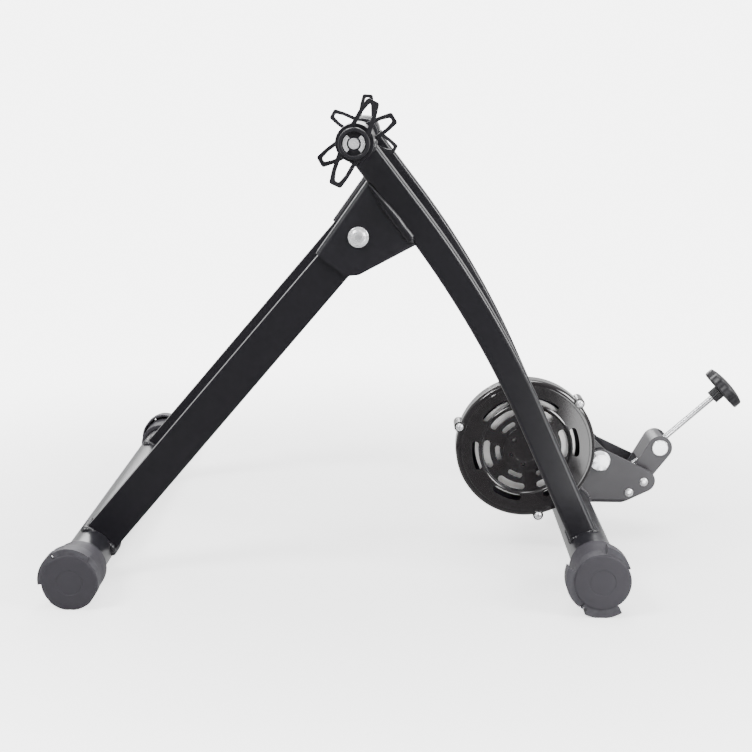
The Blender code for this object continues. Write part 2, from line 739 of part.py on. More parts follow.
def wing_outlines(angle):
    """The edge and the two windows of a pair of looped wings round the axle."""
    turn = Matrix.Rotation(math.radians(angle), 2)
    tip = WING_HALF_SPAN
    corner = WING_CORNER
    middle = (LOCK_NUT_HUB_RADIUS + WING_HALF_SPAN) / 2
    half_edge = [
        (0, WING_ROOT_HALF_WIDTH),
        (WING_ROOT_LENGTH, WING_ROOT_HALF_WIDTH),
        (middle, WING_MIDDLE_HALF_WIDTH),
        (tip - corner, WING_TIP_HALF_WIDTH),
        (tip - corner * CORNER_SHARE, WING_TIP_HALF_WIDTH - corner * CORNER_SHARE),
        (tip, WING_TIP_HALF_WIDTH - corner),
    ]
    half_window = [
        (WING_WINDOW_START, WING_ROOT_HALF_WIDTH - WING_BAR),
        (middle, WING_MIDDLE_HALF_WIDTH - WING_BAR),
        (tip - WING_BAR - EDGE_BREAK, WING_TIP_HALF_WIDTH - WING_BAR),
        (tip - WING_BAR, WING_TIP_HALF_WIDTH - WING_BAR - EDGE_BREAK),
    ]

    def closed(points, flip=1):
        return [AXLE + turn @ (Vector(p) * flip) for p in points]

    window = half_window + [(x, -y) for x, y in half_window[::-1]]
    edge = half_edge + [(x, -y) for x, y in half_edge[::-1]][:-1]
    edge += [(-x, -y) for x, y in half_edge[1:]]
    edge += [(-x, y) for x, y in half_edge[::-1]][:-1]
    return [closed(edge), closed(window), closed(window, -1)]


def spindle_handle(name, side, sign, parent):
    """The outer handle: a hub with a recess and two looped wings."""
    depth = HANDLE_HUB_DEPTH
    hole = SPINDLE_END_RADIUS + GAP
    floor = depth - HANDLE_RECESS_DEPTH
    profile = [
        (HANDLE_RECESS_RADIUS, depth),
        (HANDLE_HUB_RADIUS - EDGE_BREAK, depth),
        (HANDLE_HUB_RADIUS, depth - EDGE_BREAK),
        (HANDLE_HUB_RADIUS, 0),
        (hole, 0),
        (hole, floor),
        (HANDLE_RECESS_RADIUS, floor),
    ]
    handle = turned(profile, AXLE, sign * HANDLE_INNER_Y, sign, steps=20, ring=True)
    wing_y = sign * (HANDLE_INNER_Y + EDGE_BREAK + WING_DEPTH / 2)
    wings = flat(wing_outlines(HANDLE_ANGLES[side]), WING_DEPTH, wing_y)
    drill(wings, AXLE, (HANDLE_HUB_RADIUS + hole) / 2)
    return put(join(handle, wings), name, GREY_PLASTIC, parent)


def lock_nut(name, side, sign):
    """The winged nut that locks the spindle against the boss."""
    axis = new_empty(f"{name}_axis", AXLE, sign * BOSS_INNER_Y)
    start = BOSS_INNER_Y - GAP - LOCK_NUT_DEPTH
    bore = SPINDLE_RADIUS + RUNNING
    profile = [
        (LOCK_NUT_HUB_RADIUS - LOCK_NUT_CHAMFER, LOCK_NUT_DEPTH),
        (LOCK_NUT_HUB_RADIUS, LOCK_NUT_DEPTH - LOCK_NUT_CHAMFER),
        (LOCK_NUT_HUB_RADIUS, LOCK_NUT_CHAMFER),
        (LOCK_NUT_HUB_RADIUS - LOCK_NUT_CHAMFER, 0),
        (bore, 0),
        (bore, LOCK_NUT_DEPTH),
    ]
    nut = turned(profile, AXLE, sign * start, sign, steps=20, ring=True)
    wing_y = sign * (start + LOCK_NUT_DEPTH / 2)
    wings = flat(wing_outlines(LOCK_NUT_ANGLES[side]), WING_DEPTH, wing_y)
    drill(wings, AXLE, (LOCK_NUT_HUB_RADIUS + bore) / 2)
    return put(join(nut, wings), name, GREY_PLASTIC, axis)


def unit_bracket():
    """The channel welded to the rear crossbar that carries the roller unit."""
    end = side_point(*BRACKET_END)
    front = side_point(BRACKET_BOTTOM_FRONT_X, BRACKET_BOTTOM_HEIGHT)
    rear = side_point(BRACKET_BOTTOM_REAR_X, BRACKET_BOTTOM_HEIGHT)
    heel = side_point(*BRACKET_HEEL_ON_BAR)
    rounds = [(YOKE_PIVOT, BRACKET_PIVOT_RADIUS), (end, BRACKET_END_RADIUS)]
    outline = hull([*rounds, (rear, 0), (front, 0), (heel, 0)])
    obj = flat([outline], 2 * BRACKET_HALF_WIDTH, 0, REAR_BAR)
    floor = BRACKET_BOTTOM_HEIGHT + BRACKET_WALL
    low_front = Vector((front.x - FAR_SIDE, floor))
    low_rear = Vector((end.x + FAR_SIDE, floor))
    high = Vector((0, FAR_SIDE))
    inner = [low_front, low_rear, low_rear + high, low_front + high]
    cut(obj, flat([inner], 2 * (BRACKET_HALF_WIDTH - BRACKET_WALL), 0))
    cut(obj, prism(COPE_SIDES, CROSSBAR_RADIUS + GAP, RIGHT_ACROSS, REAR_BAR, 0))
    drill(obj, YOKE_PIVOT, YOKE_BOLT_RADIUS + RUNNING)
    for pin in (PIN_UPPER, PIN_LOWER):
        drill(obj, side_point(*pin), PIN_RADIUS + GAP)
    return put(obj, "unit_bracket", BLACK_PAINT)


def adjuster_ear():
    """The ear between the bracket's cheeks that holds the barrel nut."""
    land = PIN_RADIUS + PIN_LAND
    upper = side_point(*PIN_UPPER)
    lower = side_point(*PIN_LOWER)
    outline = hull([(EAR, EAR_RADIUS), (lower, land), (upper, land)])
    obj = flat([outline], 2 * EAR_HALF_WIDTH, 0, EAR)
    down = (lower - EAR).normalized()
    out = Vector((down.y, -down.x))
    slant = math.asin((EAR_RADIUS - land) / (lower - EAR).length)
    edge_out = Matrix.Rotation(slant, 2) @ out
    start = math.atan2(edge_out.y, edge_out.x) % math.tau
    inner_radius = EAR_RADIUS - EAR_PLATE
    top = arc(EAR, inner_radius, start, EAR_WEB_END, 6)
    away = Vector((math.cos(EAR_WEB_END), math.sin(EAR_WEB_END)))
    edge_down = Vector((-edge_out.y, edge_out.x))
    web_end = top[0] + edge_down * EAR_WEB_LENGTH
    past_web = web_end + edge_out * (EAR_PLATE + THROUGH)
    far = Vector((8 * THROUGH, 0))
    low = past_web + edge_down * 4 * THROUGH
    high = EAR + away * 4 * THROUGH
    inner = [low, past_web, web_end, *top, high, high + far, low + far]
    cut(obj, flat([inner], 2 * (EAR_HALF_WIDTH - EAR_PLATE), 0))
    drill(obj, EAR, BARREL_RADIUS + RUNNING)
    drill(obj, upper, PIN_RADIUS + GAP)
    drill(obj, lower, PIN_RADIUS + GAP)
    cut(obj, along_rod(ROD_RADIUS + ROD_HOLE_CLEARANCE, -4 * THROUGH, 0))
    return put(obj, "adjuster_ear", BLACK_PAINT)


def along_rod(radius, start, end, sides=16):
    """A cylinder on the adjuster rod's axis, between two distances from the barrel nut."""
    work = bmesh.new()
    bmesh.ops.create_cone(
        work, cap_ends=True, segments=sides, radius1=radius, radius2=radius, depth=end - start
    )
    obj = from_bmesh(work)
    middle = EAR + ROD * (start + end) / 2
    obj.location = (middle.x, 0, middle.y)
    obj.rotation_euler = (0, math.pi / 2 - ROD_ANGLE, 0)
    return obj


def turned_on_rod(profile, distance, steps=16):
    """A turned piece on the adjuster rod's axis, at a distance from the barrel nut."""
    obj = turned(profile, (0, 0), 0, steps=steps)
    place = EAR + ROD * distance
    obj.location = (place.x, 0, place.y)
    obj.rotation_euler = (0, math.pi / 2 - ROD_ANGLE, 0)
    return obj


def cross_pin(name, point):
    """A riveted pin through the bracket's cheeks and the ear."""
    outer = BRACKET_HALF_WIDTH + GAP
    rivet = head(PIN_HEAD_RADIUS, PIN_HEAD_HEIGHT, PIN_HEAD_DOME)
    profile = [(radius, outer + up) for radius, up in rivet] + [(PIN_RADIUS, outer)]
    profile += [(radius, -height) for radius, height in profile[::-1]]
    return put(turned(profile, side_point(*point), 0), name, ZINC)


def yoke_bolt_set():
    """The bolt, washer and nut on which the yoke swings."""
    outer = BRACKET_HALF_WIDTH + GAP
    profile = tube(YOKE_WASHER_RADIUS, YOKE_BOLT_RADIUS + GAP, YOKE_WASHER_THICKNESS)
    put(turned(profile, YOKE_PIVOT, -outer, -1, ring=True), "yoke_pivot_washer", ZINC)
    seat = outer + YOKE_WASHER_THICKNESS + GAP
    corner = YOKE_HEAD_WIDTH / math.sqrt(3)
    bolt = prism(6, corner, YOKE_HEAD_HEIGHT, YOKE_PIVOT, -seat - YOKE_HEAD_HEIGHT / 2)
    start = -seat - YOKE_HEAD_HEIGHT / 2
    end = outer + YOKE_HEAD_HEIGHT + BOLT_PROUD
    shank = prism(20, YOKE_BOLT_RADIUS, end - start, YOKE_PIVOT, (start + end) / 2)
    put(join(bolt, shank), "yoke_pivot_bolt", ZINC)
    nut = prism(6, corner, YOKE_HEAD_HEIGHT, YOKE_PIVOT, outer + YOKE_HEAD_HEIGHT / 2)
    drill(nut, YOKE_PIVOT, YOKE_BOLT_RADIUS + GAP)
    put(nut, "yoke_pivot_nut", ZINC)


def unit_yoke(parent):
    """The swinging yoke: two arms, a web and a tail bar that the adjuster pushes."""
    shoulder = YOKE_PIVOT + Vector(YOKE_SHOULDER)
    width = 2 * YOKE_HALF_WIDTH
    pivot_end = (YOKE_PIVOT, YOKE_PIVOT_END_RADIUS)
    arm = hull([(ROLLER, YOKE_ROLLER_END_RADIUS), (shoulder, YOKE_SHOULDER_RADIUS), pivot_end])
    tail = hull([(YOKE_PIVOT, YOKE_PIVOT_END_RADIUS - EDGE_BREAK), (TAIL, TAIL_END_RADIUS)])
    obj = flat([arm], width, 0, YOKE_PIVOT)
    join(obj, flat([tail], width - 2 * INSET, 0))
    around = arc(YOKE_PIVOT, FAR_SIDE, 0, math.tau, 4)[:-1]
    cut(obj, flat([around], width - 2 * YOKE_PLATE, 0))
    along = (YOKE_PIVOT - ROLLER).normalized()
    up = Vector((-along.y, along.x))
    middle = ROLLER + (YOKE_PIVOT - ROLLER) * YOKE_WEB_SHARE
    corner_a = along * YOKE_WEB_THICKNESS / 2
    corner_b = up * YOKE_WEB_HEIGHT / 2
    web = [
        middle - corner_a - corner_b,
        middle + corner_a - corner_b,
        middle + corner_a + corner_b,
        middle - corner_a + corner_b,
    ]
    join(obj, flat([web], width - YOKE_PLATE, 0))
    join(obj, prism(16, TAIL_BAR_RADIUS, width - YOKE_PLATE, TAIL, 0))
    drill(obj, YOKE_PIVOT, YOKE_BOLT_RADIUS + RUNNING)
    drill(obj, ROLLER, BEARING_RADIUS + GAP, sides=28)
    return put(obj, "unit_yoke", BLACK_PAINT, parent)


def roller_set(parent):
    """The roller, its shaft and what turns with them."""
    bore = SHAFT_RADIUS + GAP
    profile = [
        (ROLLER_RADIUS - EDGE_BREAK, ROLLER_LENGTH),
        (ROLLER_RADIUS, ROLLER_LENGTH - EDGE_BREAK),
        (ROLLER_RADIUS, EDGE_BREAK),
        (ROLLER_RADIUS - EDGE_BREAK, 0),
        (bore, 0),
        (bore, ROLLER_LENGTH),
    ]
    obj = turned(profile, ROLLER, -ROLLER_LENGTH / 2, steps=24, ring=True)
    put(obj, "roller", BRUSHED_STEEL, parent)
    obj = turned(rod(SHAFT_RADIUS, SHAFT_FAR_END + SHAFT_NEAR_END), ROLLER, -SHAFT_NEAR_END)
    put(obj, "roller_shaft", BRUSHED_STEEL, parent)
    back = YOKE_HALF_WIDTH + GAP + PAN_WALL + BEARING_WIDTH / 2
    rim = FLYWHEEL_RADIUS - FLYWHEEL_RIM
    web = (FLYWHEEL_THICKNESS - FLYWHEEL_DISH) / 2
    profile = [
        (FLYWHEEL_HUB_RADIUS, FLYWHEEL_THICKNESS),
        (FLYWHEEL_HUB_RADIUS, web + FLYWHEEL_DISH),
        (rim, web + FLYWHEEL_DISH),
        (rim, FLYWHEEL_THICKNESS),
        (FLYWHEEL_RADIUS, FLYWHEEL_THICKNESS),
        (FLYWHEEL_RADIUS, 0),
        (rim, 0),
        (rim, web),
        (FLYWHEEL_HUB_RADIUS, web),
        (FLYWHEEL_HUB_RADIUS, 0),
        (bore, 0),
        (bore, FLYWHEEL_THICKNESS),
    ]
    put(turned(profile, ROLLER, -back, -1, steps=24, ring=True), "flywheel", IRON, parent)
    face = COVER_FACE_Y - ROTOR_BEHIND_FACE
    hub = back + FLYWHEEL_THICKNESS + GAP
    depth = face - hub
    profile = [
        (ROTOR_RADIUS, depth),
        (ROTOR_RADIUS, depth - ROTOR_THICKNESS),
        (ROTOR_HUB_RADIUS, depth - ROTOR_THICKNESS),
        (ROTOR_HUB_RADIUS, 0),
        (bore, 0),
        (bore, depth),
    ]
    put(turned(profile, ROLLER, -hub, -1, steps=28, ring=True), "rotor_disc", ALUMINIUM, parent)
    nut_radius = SHAFT_NUT_WIDTH / math.sqrt(3)
    nut_y = face + GAP + SHAFT_NUT_HEIGHT / 2
    nut = prism(6, nut_radius, SHAFT_NUT_HEIGHT, ROLLER, -nut_y)
    drill(nut, ROLLER, bore)
    put(nut, "shaft_nut", ZINC, parent)


def bearings(parent):
    """The two shaft bearings, one in each arm of the yoke."""
    start = YOKE_HALF_WIDTH - YOKE_PLATE - GAP
    for side, sign in SIDES:
        profile = tube(BEARING_RADIUS, SHAFT_RADIUS + RUNNING, BEARING_WIDTH)
        obj = turned(profile, ROLLER, sign * start, sign, steps=20, ring=True)
        put(obj, f"shaft_bearing_{side}", BRUSHED_STEEL, parent)


def lug_points():
    """The places of the cover's three screw lugs."""
    for angle in LUG_ANGLES:
        turn = math.radians(angle)
        yield ROLLER + LUG_CIRCLE * Vector((math.cos(turn), math.sin(turn)))


def cover_back(parent):
    """The pan on the yoke's left arm that holds the flywheel and the magnets."""
    floor = YOKE_HALF_WIDTH + GAP
    rim = COVER_FACE_Y - COVER_DEPTH - GAP
    depth = rim - floor
    inner = PAN_RADIUS - PAN_WALL
    profile = [
        (PAN_FLANGE_RADIUS, depth),
        (PAN_FLANGE_RADIUS, depth - PAN_FLANGE),
        (PAN_RADIUS, depth - PAN_FLANGE),
        (PAN_RADIUS, 0),
        (BEARING_RADIUS + GAP, 0),
        (BEARING_RADIUS + GAP, PAN_WALL),
        (inner, PAN_WALL),
        (inner, depth),
    ]
    obj = turned(profile, ROLLER, -floor, -1, steps=COVER_STEPS, ring=True)
    for point in lug_points():
        middle = rim - PAN_FLANGE / 2
        join(obj, prism(12, LUG_RADIUS, PAN_FLANGE - INSET, point, -middle))
        drill(obj, point, COVER_SCREW_RADIUS + GAP, sides=12)
    return put(obj, "cover_back", BLACK_GLOSS, parent)


def vent_outline(radius, width, middle, span):
    """A curved slot with round ends, about the roller's axis."""
    half = math.radians(span) / 2 - width / 2 / radius
    start, end = middle - half, middle + half
    first = ROLLER + radius * Vector((math.cos(start), math.sin(start)))
    last = ROLLER + radius * Vector((math.cos(end), math.sin(end)))
    outline = arc(ROLLER, radius + width / 2, start, end, VENT_STEPS)
    outline += arc(last, width / 2, end, end + math.pi, 2)[1:-1]
    outline += arc(ROLLER, radius - width / 2, end, start, VENT_STEPS)
    outline += arc(first, width / 2, start + math.pi, start + math.tau, 2)[1:-1]
    return outline


def cover_front(parent):
    """The vented cover over the magnet unit, with three screw lugs."""
    rim = COVER_FACE_Y - COVER_DEPTH
    depth, edge = COVER_DEPTH - COVER_HUB_RISE, COVER_EDGE_RADIUS
    inner, ceiling = COVER_RADIUS - COVER_WALL, depth - COVER_WALL
    profile = [
        (0, depth + COVER_HUB_RISE),
        (COVER_HUB_RADIUS - COVER_HUB_RISE, depth + COVER_HUB_RISE),
        (COVER_HUB_RADIUS, depth),
        (COVER_RADIUS - edge, depth),
        (COVER_RADIUS - edge * CORNER_SHARE, depth - edge * CORNER_SHARE),
        (COVER_RADIUS, depth - edge),
        (COVER_RADIUS, 0),
        (inner, 0),
        (inner, ceiling),
        (0, ceiling),
    ]
    obj = turned(profile, ROLLER, -rim, -1, steps=COVER_STEPS)
    for point in lug_points():
        middle = rim + depth / 2
        join(obj, prism(12, LUG_RADIUS, depth - 2 * INSET, point, -middle))
    for point in lug_points():
        drill(obj, point, COVER_SCREW_RADIUS + GAP, sides=12)
    slots = []
    for inset, width, first, span in VENT_RINGS:
        for k in range(360 // VENT_PITCH):
            middle = math.radians(first + k * VENT_PITCH)
            slots.append(vent_outline(COVER_RADIUS - inset, width, middle, span))
    cut(obj, flat(slots, 4 * COVER_WALL, -rim - ceiling))
    inside = rod(inner, ceiling + THROUGH)
    cut(obj, turned(inside, ROLLER, -rim + THROUGH, -1, COVER_STEPS))
    return put(obj, "cover_front", BLACK_GLOSS, parent)


def cover_screws(parent):
    """The three screws that hold the cover's halves together."""
    face = COVER_FACE_Y - COVER_HUB_RISE + GAP
    back = COVER_FACE_Y - COVER_DEPTH - GAP - PAN_FLANGE
    length = face - back + COVER_SCREW_PROUD
    profile = head(COVER_SCREW_HEAD_RADIUS, COVER_SCREW_HEAD_HEIGHT, COVER_SCREW_DOME)
    profile += [(COVER_SCREW_RADIUS, 0), (COVER_SCREW_RADIUS, -length), (0, -length)]
    for number, point in enumerate(lug_points(), 1):
        obj = turned(profile, point, -face, -1, steps=12)
        put(obj, f"cover_screw_{number}", ZINC, parent)


def magnets(parent):
    """The carrier plate in the pan's mouth and the magnet ring that faces the rotor."""
    seat = COVER_FACE_Y - COVER_DEPTH
    profile = tube(CARRIER_OUTER_RADIUS, CARRIER_INNER_RADIUS, CARRIER_THICKNESS)
    obj = turned(profile, ROLLER, -seat, -1, steps=28, ring=True)
    put(obj, "magnet_carrier", IRON, parent)
    face = seat + CARRIER_THICKNESS + GAP
    profile = tube(MAGNET_OUTER_RADIUS, MAGNET_INNER_RADIUS, MAGNET_THICKNESS)
    obj = turned(profile, ROLLER, -face, -1, steps=28, ring=True)
    put(obj, "magnet_ring", FERRITE, parent)


def barrel_nut():
    """The round cross nut in the ear that the adjuster rod threads through."""
    half = EAR_HALF_WIDTH + BARREL_PROUD
    obj = prism(24, BARREL_RADIUS, 2 * half, EAR, 0)
    reach = BARREL_RADIUS + THROUGH
    cut(obj, along_rod(ROD_RADIUS + RUNNING, -reach, reach))
    return put(obj, "barrel_nut", ZINC)


def adjuster(rod_axis, slide):
    """The rod, its knob and the swivelling tip that pushes the yoke's tail."""
    bore = ROD_RADIUS + GAP
    floor = TIP_LENGTH - TIP_SOCKET
    profile = [
        (0, floor),
        (bore, floor),
        (bore, TIP_LENGTH),
        (TIP_RADIUS, TIP_LENGTH),
        (TIP_RADIUS, EDGE_BREAK),
        (TIP_RADIUS - EDGE_BREAK, 0),
        (0, 0),
    ]
    put(turned_on_rod(profile, -TIP_FROM_BARREL), "rod_tip", ZINC, slide)
    start = -TIP_FROM_BARREL + TIP_LENGTH - TIP_SOCKET + GAP
    end = KNOB_FROM_BARREL + KNOB_SOCKET - GAP
    put(turned_on_rod(rod(ROD_RADIUS, end - start), start), "adjuster_rod", ZINC, rod_axis)
    knob = [(0, KNOB_RIM + KNOB_DOME)]
    knob += [(KNOB_RADIUS * across, KNOB_RIM + KNOB_DOME * up) for across, up in KNOB_DOME_CURVE]
    knob += [
        (KNOB_RADIUS, KNOB_RIM - KNOB_EDGE),
        (KNOB_RADIUS, EDGE_BREAK),
        (KNOB_RADIUS - EDGE_BREAK, 0),
        (KNOB_HUB_RADIUS, 0),
        (KNOB_HUB_RADIUS, -KNOB_HUB_LENGTH),
        (bore, -KNOB_HUB_LENGTH),
        (bore, KNOB_SOCKET),
        (0, KNOB_SOCKET),
    ]
    put(turned_on_rod(knob, KNOB_FROM_BARREL, steps=24), "adjuster_knob", GREY_PLASTIC, rod_axis)


def build():
    """Builds the whole trainer."""
    crossbar("rear_crossbar", REAR_BAR)
    fold_axis = new_empty("fold_axis", PIVOT)
    crossbar("front_crossbar", FRONT_BAR, fold_axis)
    for side, sign in SIDES:
        rear_leg(f"rear_leg_{side}", sign)
        front_leg(f"front_leg_{side}", sign, fold_axis)
        fold_bracket(f"fold_bracket_{side}", sign)
        fold_hardware(side, sign)
        axle_boss(f"axle_boss_{side}", sign)
        cup_axis = new_empty(f"cup_axis_{side}", AXLE, sign * CUP_MOUTH_Y)
        axle_cup(f"axle_cup_{side}", sign, cup_axis)
        axle_spindle(f"axle_spindle_{side}", sign, cup_axis)
        spindle_handle(f"spindle_handle_{side}", side, sign, cup_axis)
        lock_nut(f"lock_nut_{side}", side, sign)
        foot_cap(f"rear_foot_cap_{side}", REAR_BAR, REAR_CAP_RIM, sign)
        foot_cap(f"front_foot_cap_{side}", FRONT_BAR, FRONT_CAP_RIM, sign)
    unit_bracket()
    adjuster_ear()
    cross_pin("ear_pin_upper", PIN_UPPER)
    cross_pin("ear_pin_lower", PIN_LOWER)
    barrel_nut()
    yoke_bolt_set()
    yoke_axis = new_empty("yoke_axis", YOKE_PIVOT)
    roller_axis = new_empty("roller_axis", ROLLER)
    unit_yoke(yoke_axis)
    bearings(yoke_axis)
    cover_back(yoke_axis)
    cover_front(yoke_axis)
    cover_screws(yoke_axis)
    magnets(yoke_axis)
    roller_set(roller_axis)
    rod_axis = new_empty("rod_axis", EAR)
    adjuster(rod_axis, new_empty("rod_slide", TIP_FACE))


build()
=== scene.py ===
"""Looks of the magnetic bike trainer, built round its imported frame.

Metres, +Z up. X runs along the bike, with the roller unit at +X, and Y across it, with the left
side at -Y. Every piece is built where it stands, so its object sits at the origin.
"""

from __future__ import annotations

import logging
import math
import random
from collections.abc import Callable, Sequence
from dataclasses import dataclass
from enum import Enum

import bmesh
import bpy
from mathutils import Matrix, Vector


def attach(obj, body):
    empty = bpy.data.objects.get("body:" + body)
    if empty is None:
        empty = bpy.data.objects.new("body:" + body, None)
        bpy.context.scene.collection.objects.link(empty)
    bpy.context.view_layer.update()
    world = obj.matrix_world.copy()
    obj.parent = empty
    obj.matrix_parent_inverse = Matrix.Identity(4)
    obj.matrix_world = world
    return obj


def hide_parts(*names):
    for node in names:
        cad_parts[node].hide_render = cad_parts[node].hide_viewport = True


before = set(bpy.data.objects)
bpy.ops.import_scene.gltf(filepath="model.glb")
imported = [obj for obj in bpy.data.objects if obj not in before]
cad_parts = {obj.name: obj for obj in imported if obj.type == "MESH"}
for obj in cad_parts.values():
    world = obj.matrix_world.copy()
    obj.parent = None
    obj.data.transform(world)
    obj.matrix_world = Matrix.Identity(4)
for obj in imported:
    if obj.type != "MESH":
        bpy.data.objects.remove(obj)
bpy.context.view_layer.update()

LOG = logging.getLogger("trainer")
TINY = 1e-7
SHARP = math.radians(34)
GAP = 0.0003  # left between separate solids in the CAD model
PAST = 0.03  # how far a cutter reaches past what it cuts
SHEET_EDGE = 0.0005  # how far the edges of cut sheet are rounded
COARSE = 0.0015  # the thread pitch of the 10 mm bolts

Shape = bpy.types.Object
Socket = bpy.types.NodeSocket
Spot = tuple[float, float]
Triple = tuple[float, float, float]
Outline = list[Vector]
Profile = Sequence[tuple[float, ...]]


class Side(Enum):
    """A side of the stand, with its sign along Y."""

    LEFT = -1
    RIGHT = 1

    @property
    def word(self) -> str:
        """The side's name as node names have it."""
        return self.name.lower()


@dataclass(frozen=True)
class Layout:
    """Where the main axes lie in the side view, as X and Z."""

    pivot: Spot = (-0.0565, 0.3115)
    axle: Spot = (-0.0598, 0.3925)
    bend: Spot = (0.0563, 0.2438)
    front_bar: Spot = (-0.2968, 0.0245)
    rear_bar: Spot = (0.1539, 0.0315)
    roller: Spot = (0.1018, 0.1028)
    yoke_pivot: Spot = (0.1811, 0.0775)
    ear: Spot = (0.2422, 0.0880)
    tail: Spot = (0.2007, 0.04996)
    rod_angle: float = math.radians(42.5)
    leg_y: float = 0.162
    half_width: float = 0.265
    bar_radius: float = 0.019
    boss_radius: float = 0.0165

    @property
    def up_front_leg(self) -> Vector:
        """The direction up the front leg."""
        return (Vector(self.pivot) - Vector(self.front_bar)).normalized()

    @property
    def rod(self) -> Vector:
        """The direction of the adjuster's rod, towards its knob."""
        return Vector((math.cos(self.rod_angle), math.sin(self.rod_angle)))


PLAN = Layout()


# Outlines in the side view


def ray(turn: float, reach: float = 1.0) -> Vector:
    """A vector at an angle in radians."""
    return reach * Vector((math.cos(turn), math.sin(turn)))


def arc(centre: Sequence[float], radius: float, start: float, end: float, steps: int) -> Outline:
    """Points of an arc between two angles in radians.

    Args:
        centre: The arc's middle.
        radius: Its radius.
        start: The first angle.
        end: The last angle.
        steps: How many pieces the arc has.

    Returns:
        The points, first and last included.
    """
    turn = (end - start) / steps
    return [Vector(centre) + ray(start + k * turn, radius) for k in range(steps + 1)]


def hull(circles: Sequence[tuple[Sequence[float], float]], steps: int = 48) -> Outline:
    """The convex outline round a set of circles.

    Args:
        circles: Pairs of middle and radius, where 0 is a point.
        steps: Points on each circle.

    Returns:
        The outline, anticlockwise.
    """
    points: Outline = []
    for centre, radius in circles:
        points += arc(centre, radius, 0, math.tau, steps) if radius else [Vector(centre)]
    ordered = sorted({(round(p.x, 6), round(p.y, 6)) for p in points})
    outline: Outline = []
    for row in (ordered, ordered[::-1]):
        chain: list[Spot] = []
        for point in row:
            while len(chain) > 1:
                (ax, ay), (bx, by) = chain[-2:]
                if (bx - ax) * (point[1] - ay) - (by - ay) * (point[0] - ax) > 1e-10:
                    break
                chain.pop()
            chain.append(point)
        outline += [Vector(p) for p in chain[:-1]]
    return outline


def soften(points: Sequence[Sequence[float]], reach: float, steps: int = 5) -> Outline:
    """Rounds the corners of a closed outline.

    Args:
        points: The outline's corners.
        reach: How far from each corner its curve starts.
        steps: Pieces in each curve.

    Returns:
        The rounded outline.
    """
    corners = [Vector(p) for p in points]
    out: Outline = []
    for k, corner in enumerate(corners):
        before, after = corners[k - 1] - corner, corners[(k + 1) % len(corners)] - corner
        a = corner + before.normalized() * min(reach, before.length * 0.48)
        b = corner + after.normalized() * min(reach, after.length * 0.48)
        for i in range(steps + 1):
            t = i / steps
            out.append(a * (1 - t) ** 2 + corner * 2 * t * (1 - t) + b * t**2)
    return out


def bend_line(start: Vector, corner: Vector, end: Vector, radius: float, steps: int) -> list:
    """A line with one bend.

    Args:
        start: The first end.
        corner: Where the straight parts would meet.
        end: The last end.
        radius: The bend's radius.
        steps: Pieces in the bend.

    Returns:
        Pairs of point and direction.
    """
    before, after = (corner - start).normalized(), (end - corner).normalized()
    bend = before.angle_signed(after)
    first = corner - before * radius * math.tan(abs(bend) / 2)
    centre = first + (-1 if bend > 0 else 1) * radius * Vector((-before.y, before.x))
    line = [(start, before)]
    for k in range(steps + 1):
        turn = Matrix.Rotation(-bend * k / steps, 2)
        line.append((centre + turn @ (first - centre), turn @ before))
    return [*line, (end, after)]


def band(line: list, half: float) -> Outline:
    """The outline of a band of even width along a line of points and directions."""
    edges = [[p + s * Vector((-way.y, way.x)) for p, way in line] for s in (half, -half)]
    return edges[0] + edges[1][::-1]


def bevelled(*corners: Sequence[float]) -> Profile:
    """A closed profile of level and upright lines with broken corners.

    Args:
        *corners: Radius and height of each corner, then how far its break reaches, where it has
            one, and how far in from the corner the middle of a rounder break lies.

    Returns:
        The profile.
    """
    points = []
    for k, (r, h, *broken) in enumerate(corners):
        if not broken:
            points.append((r, h))
            continue
        steps = []
        for other in (corners[k - 1], corners[(k + 1) % len(corners)]):
            steps.append([(b > a) - (b < a) for a, b in ((r, other[0]), (h, other[1]))])
        (ax, ay), (bx, by) = steps
        points.append((r + ax * broken[0], h + ay * broken[0]))
        for middle in broken[1:]:
            points.append((r + (ax + bx) * middle, h + (ay + by) * middle))
        points.append((r + bx * broken[0], h + by * broken[0]))
    return points


def mirrored(half: list[Spot]) -> Profile:
    """A profile with its mirror image below its last point, which lies at height 0."""
    return half + [(r, -h) for r, h in half[-2::-1]]


def flat_ring(outer: float, inner: float, thickness: float, edge: float = 0.0002) -> Profile:
    """The profile of a washer.

    Args:
        outer: Its outer radius.
        inner: Its hole's radius.
        thickness: Its thickness.
        edge: How far its edges are broken.

    Returns:
        The profile, for a ring.
    """
    return bevelled(
        (outer, thickness, edge), (outer, 0, edge), (inner, 0, edge), (inner, thickness, edge)
    )


def across(point: Sequence[float], y: float, sign: int = 1) -> Matrix:
    """A place at a point of the side view whose Z runs towards +Y or -Y, by the sign."""
    turn = Matrix(((1, 0, 0), (0, 0, sign), (0, -sign, 0))).to_4x4()
    return Matrix.Translation((point[0], y, point[1])) @ turn


def on_rod(distance: float) -> Matrix:
    """A place on the adjuster's rod, with Z towards its knob.

    Args:
        distance: How far it is from the barrel nut.

    Returns:
        The place.
    """
    way = PLAN.rod
    turn = Matrix(((way.y, 0, way.x), (0, 1, 0), (-way.x, 0, way.y))).to_4x4()
    point = Vector(PLAN.ear) + way * distance
    return Matrix.Translation((point.x, 0, point.y)) @ turn


# Shapes


def as_object(work: bmesh.types.BMesh, name: str = "shape") -> Shape:
    """Makes a linked object of a bmesh and frees it.

    Args:
        work: The bmesh.
        name: The object's name.

    Returns:
        The object.
    """
    bmesh.ops.remove_doubles(work, verts=work.verts, dist=TINY)
    bmesh.ops.recalc_face_normals(work, faces=work.faces)
    mesh = bpy.data.meshes.new(name)
    work.to_mesh(mesh)
    work.free()
    obj = bpy.data.objects.new(name, mesh)
    bpy.context.scene.collection.objects.link(obj)
    return obj


